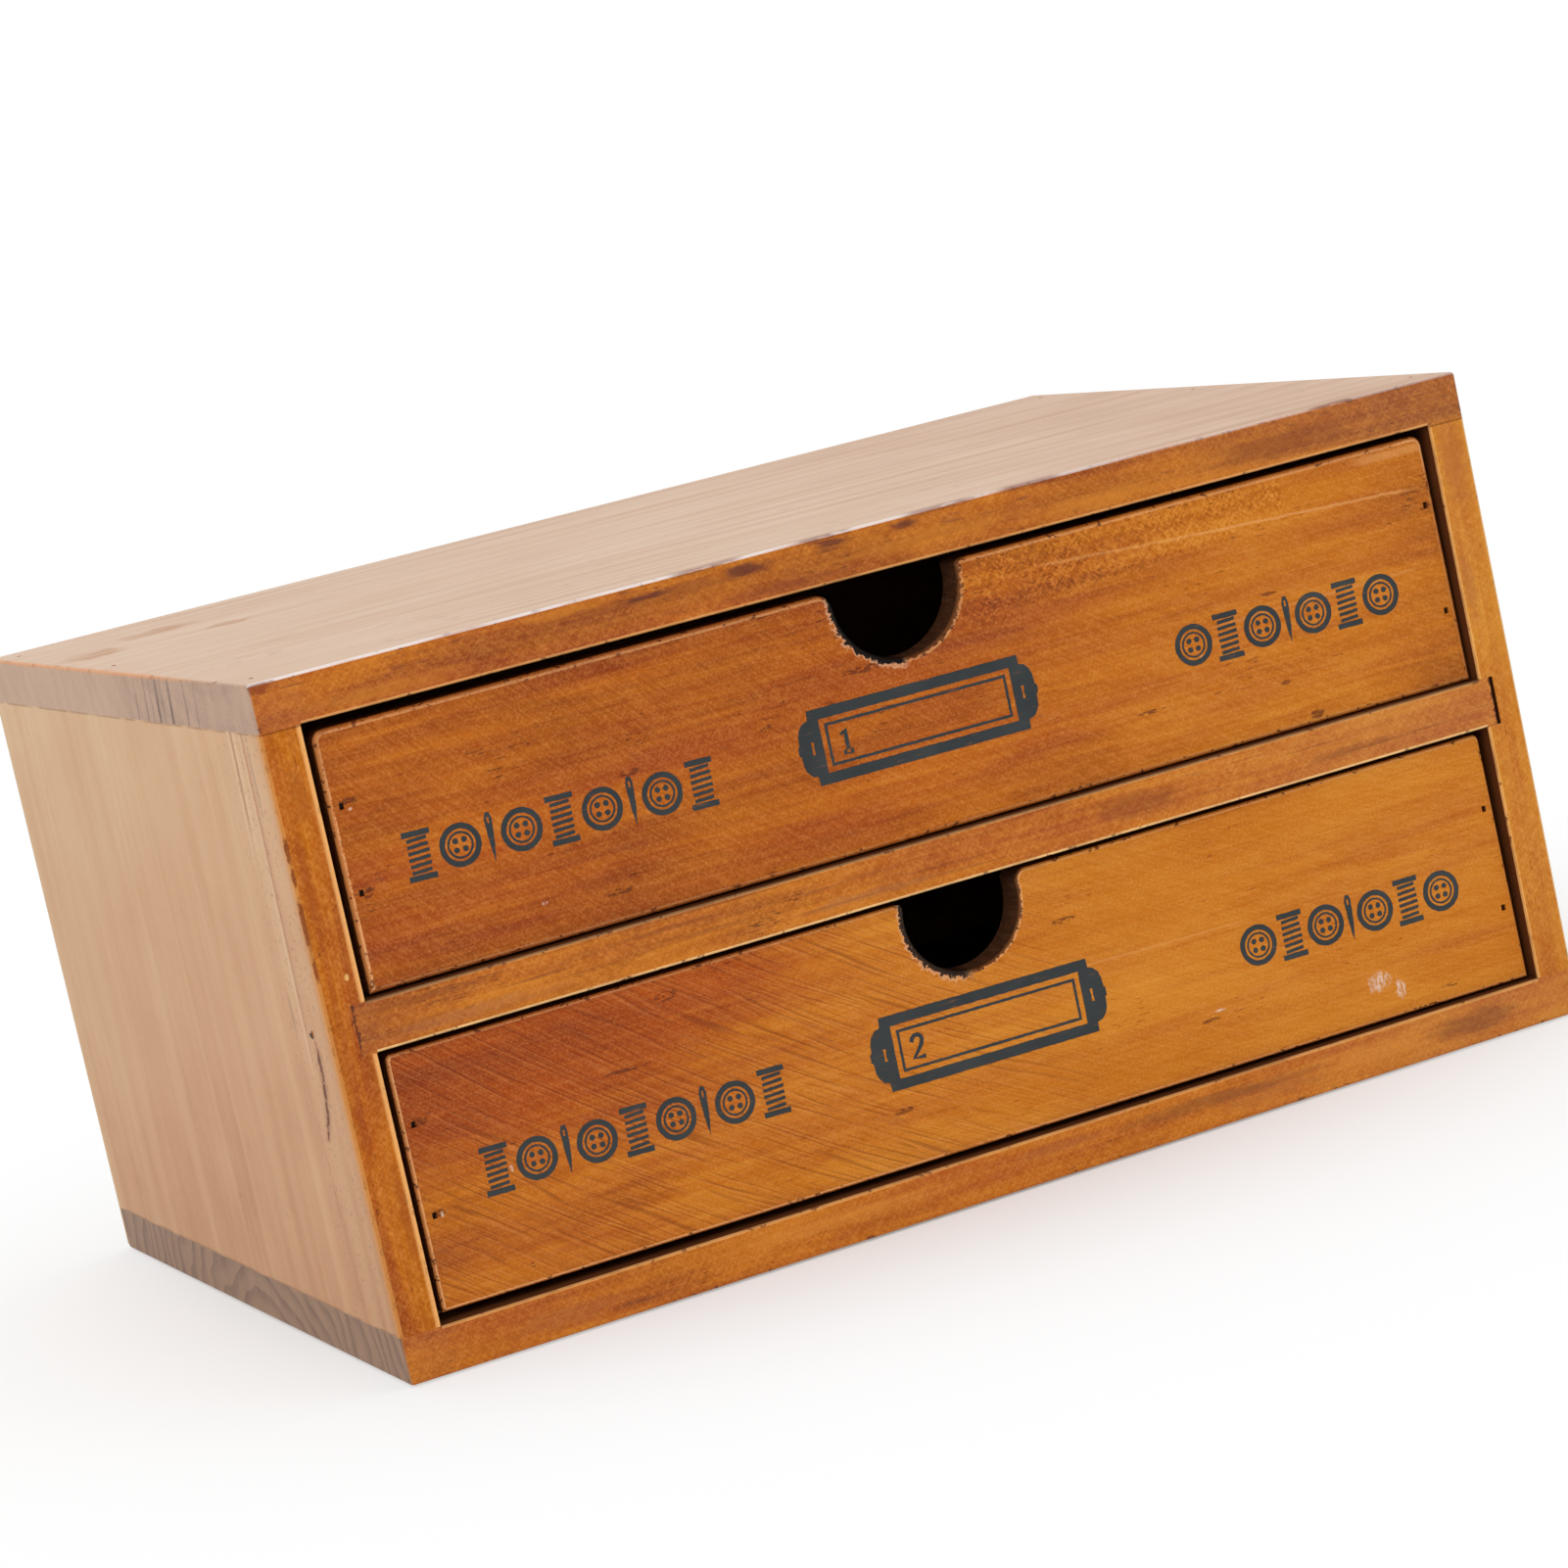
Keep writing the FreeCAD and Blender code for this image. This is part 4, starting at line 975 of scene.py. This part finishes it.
NUMBERS = {
    "upper": [[(0.5, 3.5), (1.5, 4.4), (1.5, 0.0)], [(0.5, 0.15), (2.5, 0.15)]],
    "lower": [[(0.3, 3.3), (0.5, 4.0), (1.1, 4.45), (1.8, 4.45), (2.4, 4.0), (2.5, 3.3), (2.2, 2.5),
               (0.3, 0.2), (2.7, 0.2)]],
}
NUMBER_STROKE = 0.85


def label(drawer, centre, tilt):
    """A printed card holder with the drawer's number in it."""
    loops = label_loops()
    for line in NUMBERS[drawer]:
        loops.append([(x - 16.6, z - 2.3) for x, z in stroke(line, NUMBER_STROKE)])
    turn = Matrix.Rotation(math.radians(tilt), 2)
    placed = [[tuple(turn @ Vector(point) + Vector(centre)) for point in loop] for loop in loops]
    return print_on(f"{drawer}_label", drawer, placed)


ROW_LEFT = ["spool", "button", "needle", "button", "spool", "button", "needle", "button", "spool"]
ROW_RIGHT = ["button", "spool", "button", "needle", "button", "spool", "button"]
row_of_figures("upper_figures_left", "upper", ROW_LEFT, (-103.4, 87.2), (-42.5, 85.9))
row_of_figures("upper_figures_right", "upper", ROW_RIGHT, (54.7, 86.3), (104.4, 85.9))
row_of_figures("lower_figures_left", "lower", ROW_LEFT, (-102.5, 28.5), (-41.8, 27.2))
row_of_figures("lower_figures_right", "lower", ROW_RIGHT, (55.3, 26.9), (104.6, 26.5))
label("upper", (-0.17, 91.0), -0.25)
label("lower", (0.77, 31.85), -0.6)


# ---------------------------------------------------------------- stage, light and camera

FLOOR_HALF_M = 6.0
FLOOR_DROP_M = 0.0004
FADE_REACH_M = 0.28


def stage_floor():
    """A pale floor that keeps the box's shadow near it and turns to plain white further out."""
    mesh = bpy.data.meshes.new("floor")
    corners = rectangle(-FLOOR_HALF_M, -FLOOR_HALF_M, FLOOR_HALF_M, FLOOR_HALF_M)
    mesh.from_pydata([(x, y, 0) for x, y in corners], [], [(0, 1, 2, 3)])
    floor = bpy.data.objects.new("floor", mesh)
    floor.location.z = -FLOOR_DROP_M
    bpy.context.scene.collection.objects.link(floor)
    material = bpy.data.materials.new("floor_white")
    material.use_nodes = True
    tree = material.node_tree
    tree.nodes.clear()
    output = add_node(tree, "ShaderNodeOutputMaterial")
    mixed = add_node(tree, "ShaderNodeMixShader")
    lit = add_node(tree, "ShaderNodeBsdfDiffuse", {"Color": (0.93, 0.93, 0.93, 1)})
    plain = add_node(tree, "ShaderNodeEmission", {"Strength": 1.0})
    place = add_node(tree, "ShaderNodeTexCoord")
    reach = add_node(tree, "ShaderNodeVectorMath", operation="LENGTH")
    fade = add_node(tree, "ShaderNodeMapRange", {"From Min": 0.0, "From Max": FADE_REACH_M},
                    interpolation_type="SMOOTHSTEP")
    rays = add_node(tree, "ShaderNodeLightPath")
    seen = add_node(tree, "ShaderNodeMath", operation="MAXIMUM")
    share = add_node(tree, "ShaderNodeMath", operation="MULTIPLY")
    for source, target in (
            (place.outputs["Object"], reach.inputs[0]), (reach.outputs["Value"], fade.inputs["Value"]),
            (rays.outputs["Is Camera Ray"], seen.inputs[0]), (rays.outputs["Is Glossy Ray"], seen.inputs[1]),
            (fade.outputs["Result"], share.inputs[0]), (seen.outputs[0], share.inputs[1]),
            (share.outputs[0], mixed.inputs[0]), (lit.outputs[0], mixed.inputs[1]),
            (plain.outputs[0], mixed.inputs[2]), (mixed.outputs[0], output.inputs["Surface"])):
        tree.links.new(source, target)
    mesh.materials.append(material)


def white_world(ambient, front_gloss):
    """White behind and beside the box; dimmer where reflections look back past the camera."""
    world = bpy.data.worlds.new("studio")
    bpy.context.scene.world = world
    world.use_nodes = True
    tree = world.node_tree
    background = tree.nodes["Background"]
    background.inputs["Color"].default_value = (1, 1, 1, 1)
    rays = add_node(tree, "ShaderNodeLightPath")
    place = add_node(tree, "ShaderNodeTexCoord")
    parts = add_node(tree, "ShaderNodeSeparateXYZ")
    behind = add_node(tree, "ShaderNodeMapRange",
                      {"From Min": -0.75, "From Max": 0.1, "To Min": front_gloss},
                      interpolation_type="SMOOTHSTEP")
    glossy = add_node(tree, "ShaderNodeMix", {2: ambient})
    seen = add_node(tree, "ShaderNodeMix", {3: 1.0})
    for source, target in (
            (place.outputs["Generated"], parts.inputs[0]), (parts.outputs["Y"], behind.inputs["Value"]),
            (rays.outputs["Is Glossy Ray"], glossy.inputs[0]), (behind.outputs["Result"], glossy.inputs[3]),
            (rays.outputs["Is Camera Ray"], seen.inputs[0]), (glossy.outputs[0], seen.inputs[2]),
            (seen.outputs[0], background.inputs["Strength"])):
        tree.links.new(source, target)


def soft_light(name, place_m, size_m, power, aim_m=(0.0, 0.0, 0.06)):
    light = bpy.data.lights.new(name, "AREA")
    light.shape = "RECTANGLE"
    light.size, light.size_y = size_m
    light.energy = power
    holder = bpy.data.objects.new(name, light)
    holder.location = place_m
    holder.rotation_euler = (Vector(aim_m) - Vector(place_m)).to_track_quat("-Z", "Y").to_euler()
    holder.visible_glossy = False
    bpy.context.scene.collection.objects.link(holder)


def photo_camera():
    """The camera at the viewing angle of the picture: in front, a little left and above, rolled."""
    right_way = Vector((0.893951, -0.394643, -0.212388))
    up_way = Vector((0.250773, 0.047707, 0.96687))
    back_way = Vector((-0.371436, -0.917595, 0.141613))
    matrix = Matrix((right_way, up_way, back_way)).transposed().to_4x4()
    matrix.translation = Vector((-0.363677, -0.917395, 0.213771))
    camera = bpy.data.cameras.new("camera")
    camera.sensor_fit = "HORIZONTAL"
    camera.sensor_width = 36.0
    camera.lens = 112.69
    camera.clip_start = 0.01
    holder = bpy.data.objects.new("camera", camera)
    holder.matrix_world = matrix
    bpy.context.scene.collection.objects.link(holder)
    bpy.context.scene.camera = holder


stage_floor()
white_world(ambient=0.55, front_gloss=0.15)
soft_light("key", (-1.1, -1.3, 1.2), (1.2, 1.2), 13.0)
soft_light("fill", (1.4, -1.5, 0.9), (1.2, 1.2), 6.0)
soft_light("overhead", (0.1, 0.3, 1.7), (1.4, 1.4), 9.0)
photo_camera()
bpy.context.scene.view_settings.view_transform = "Standard"
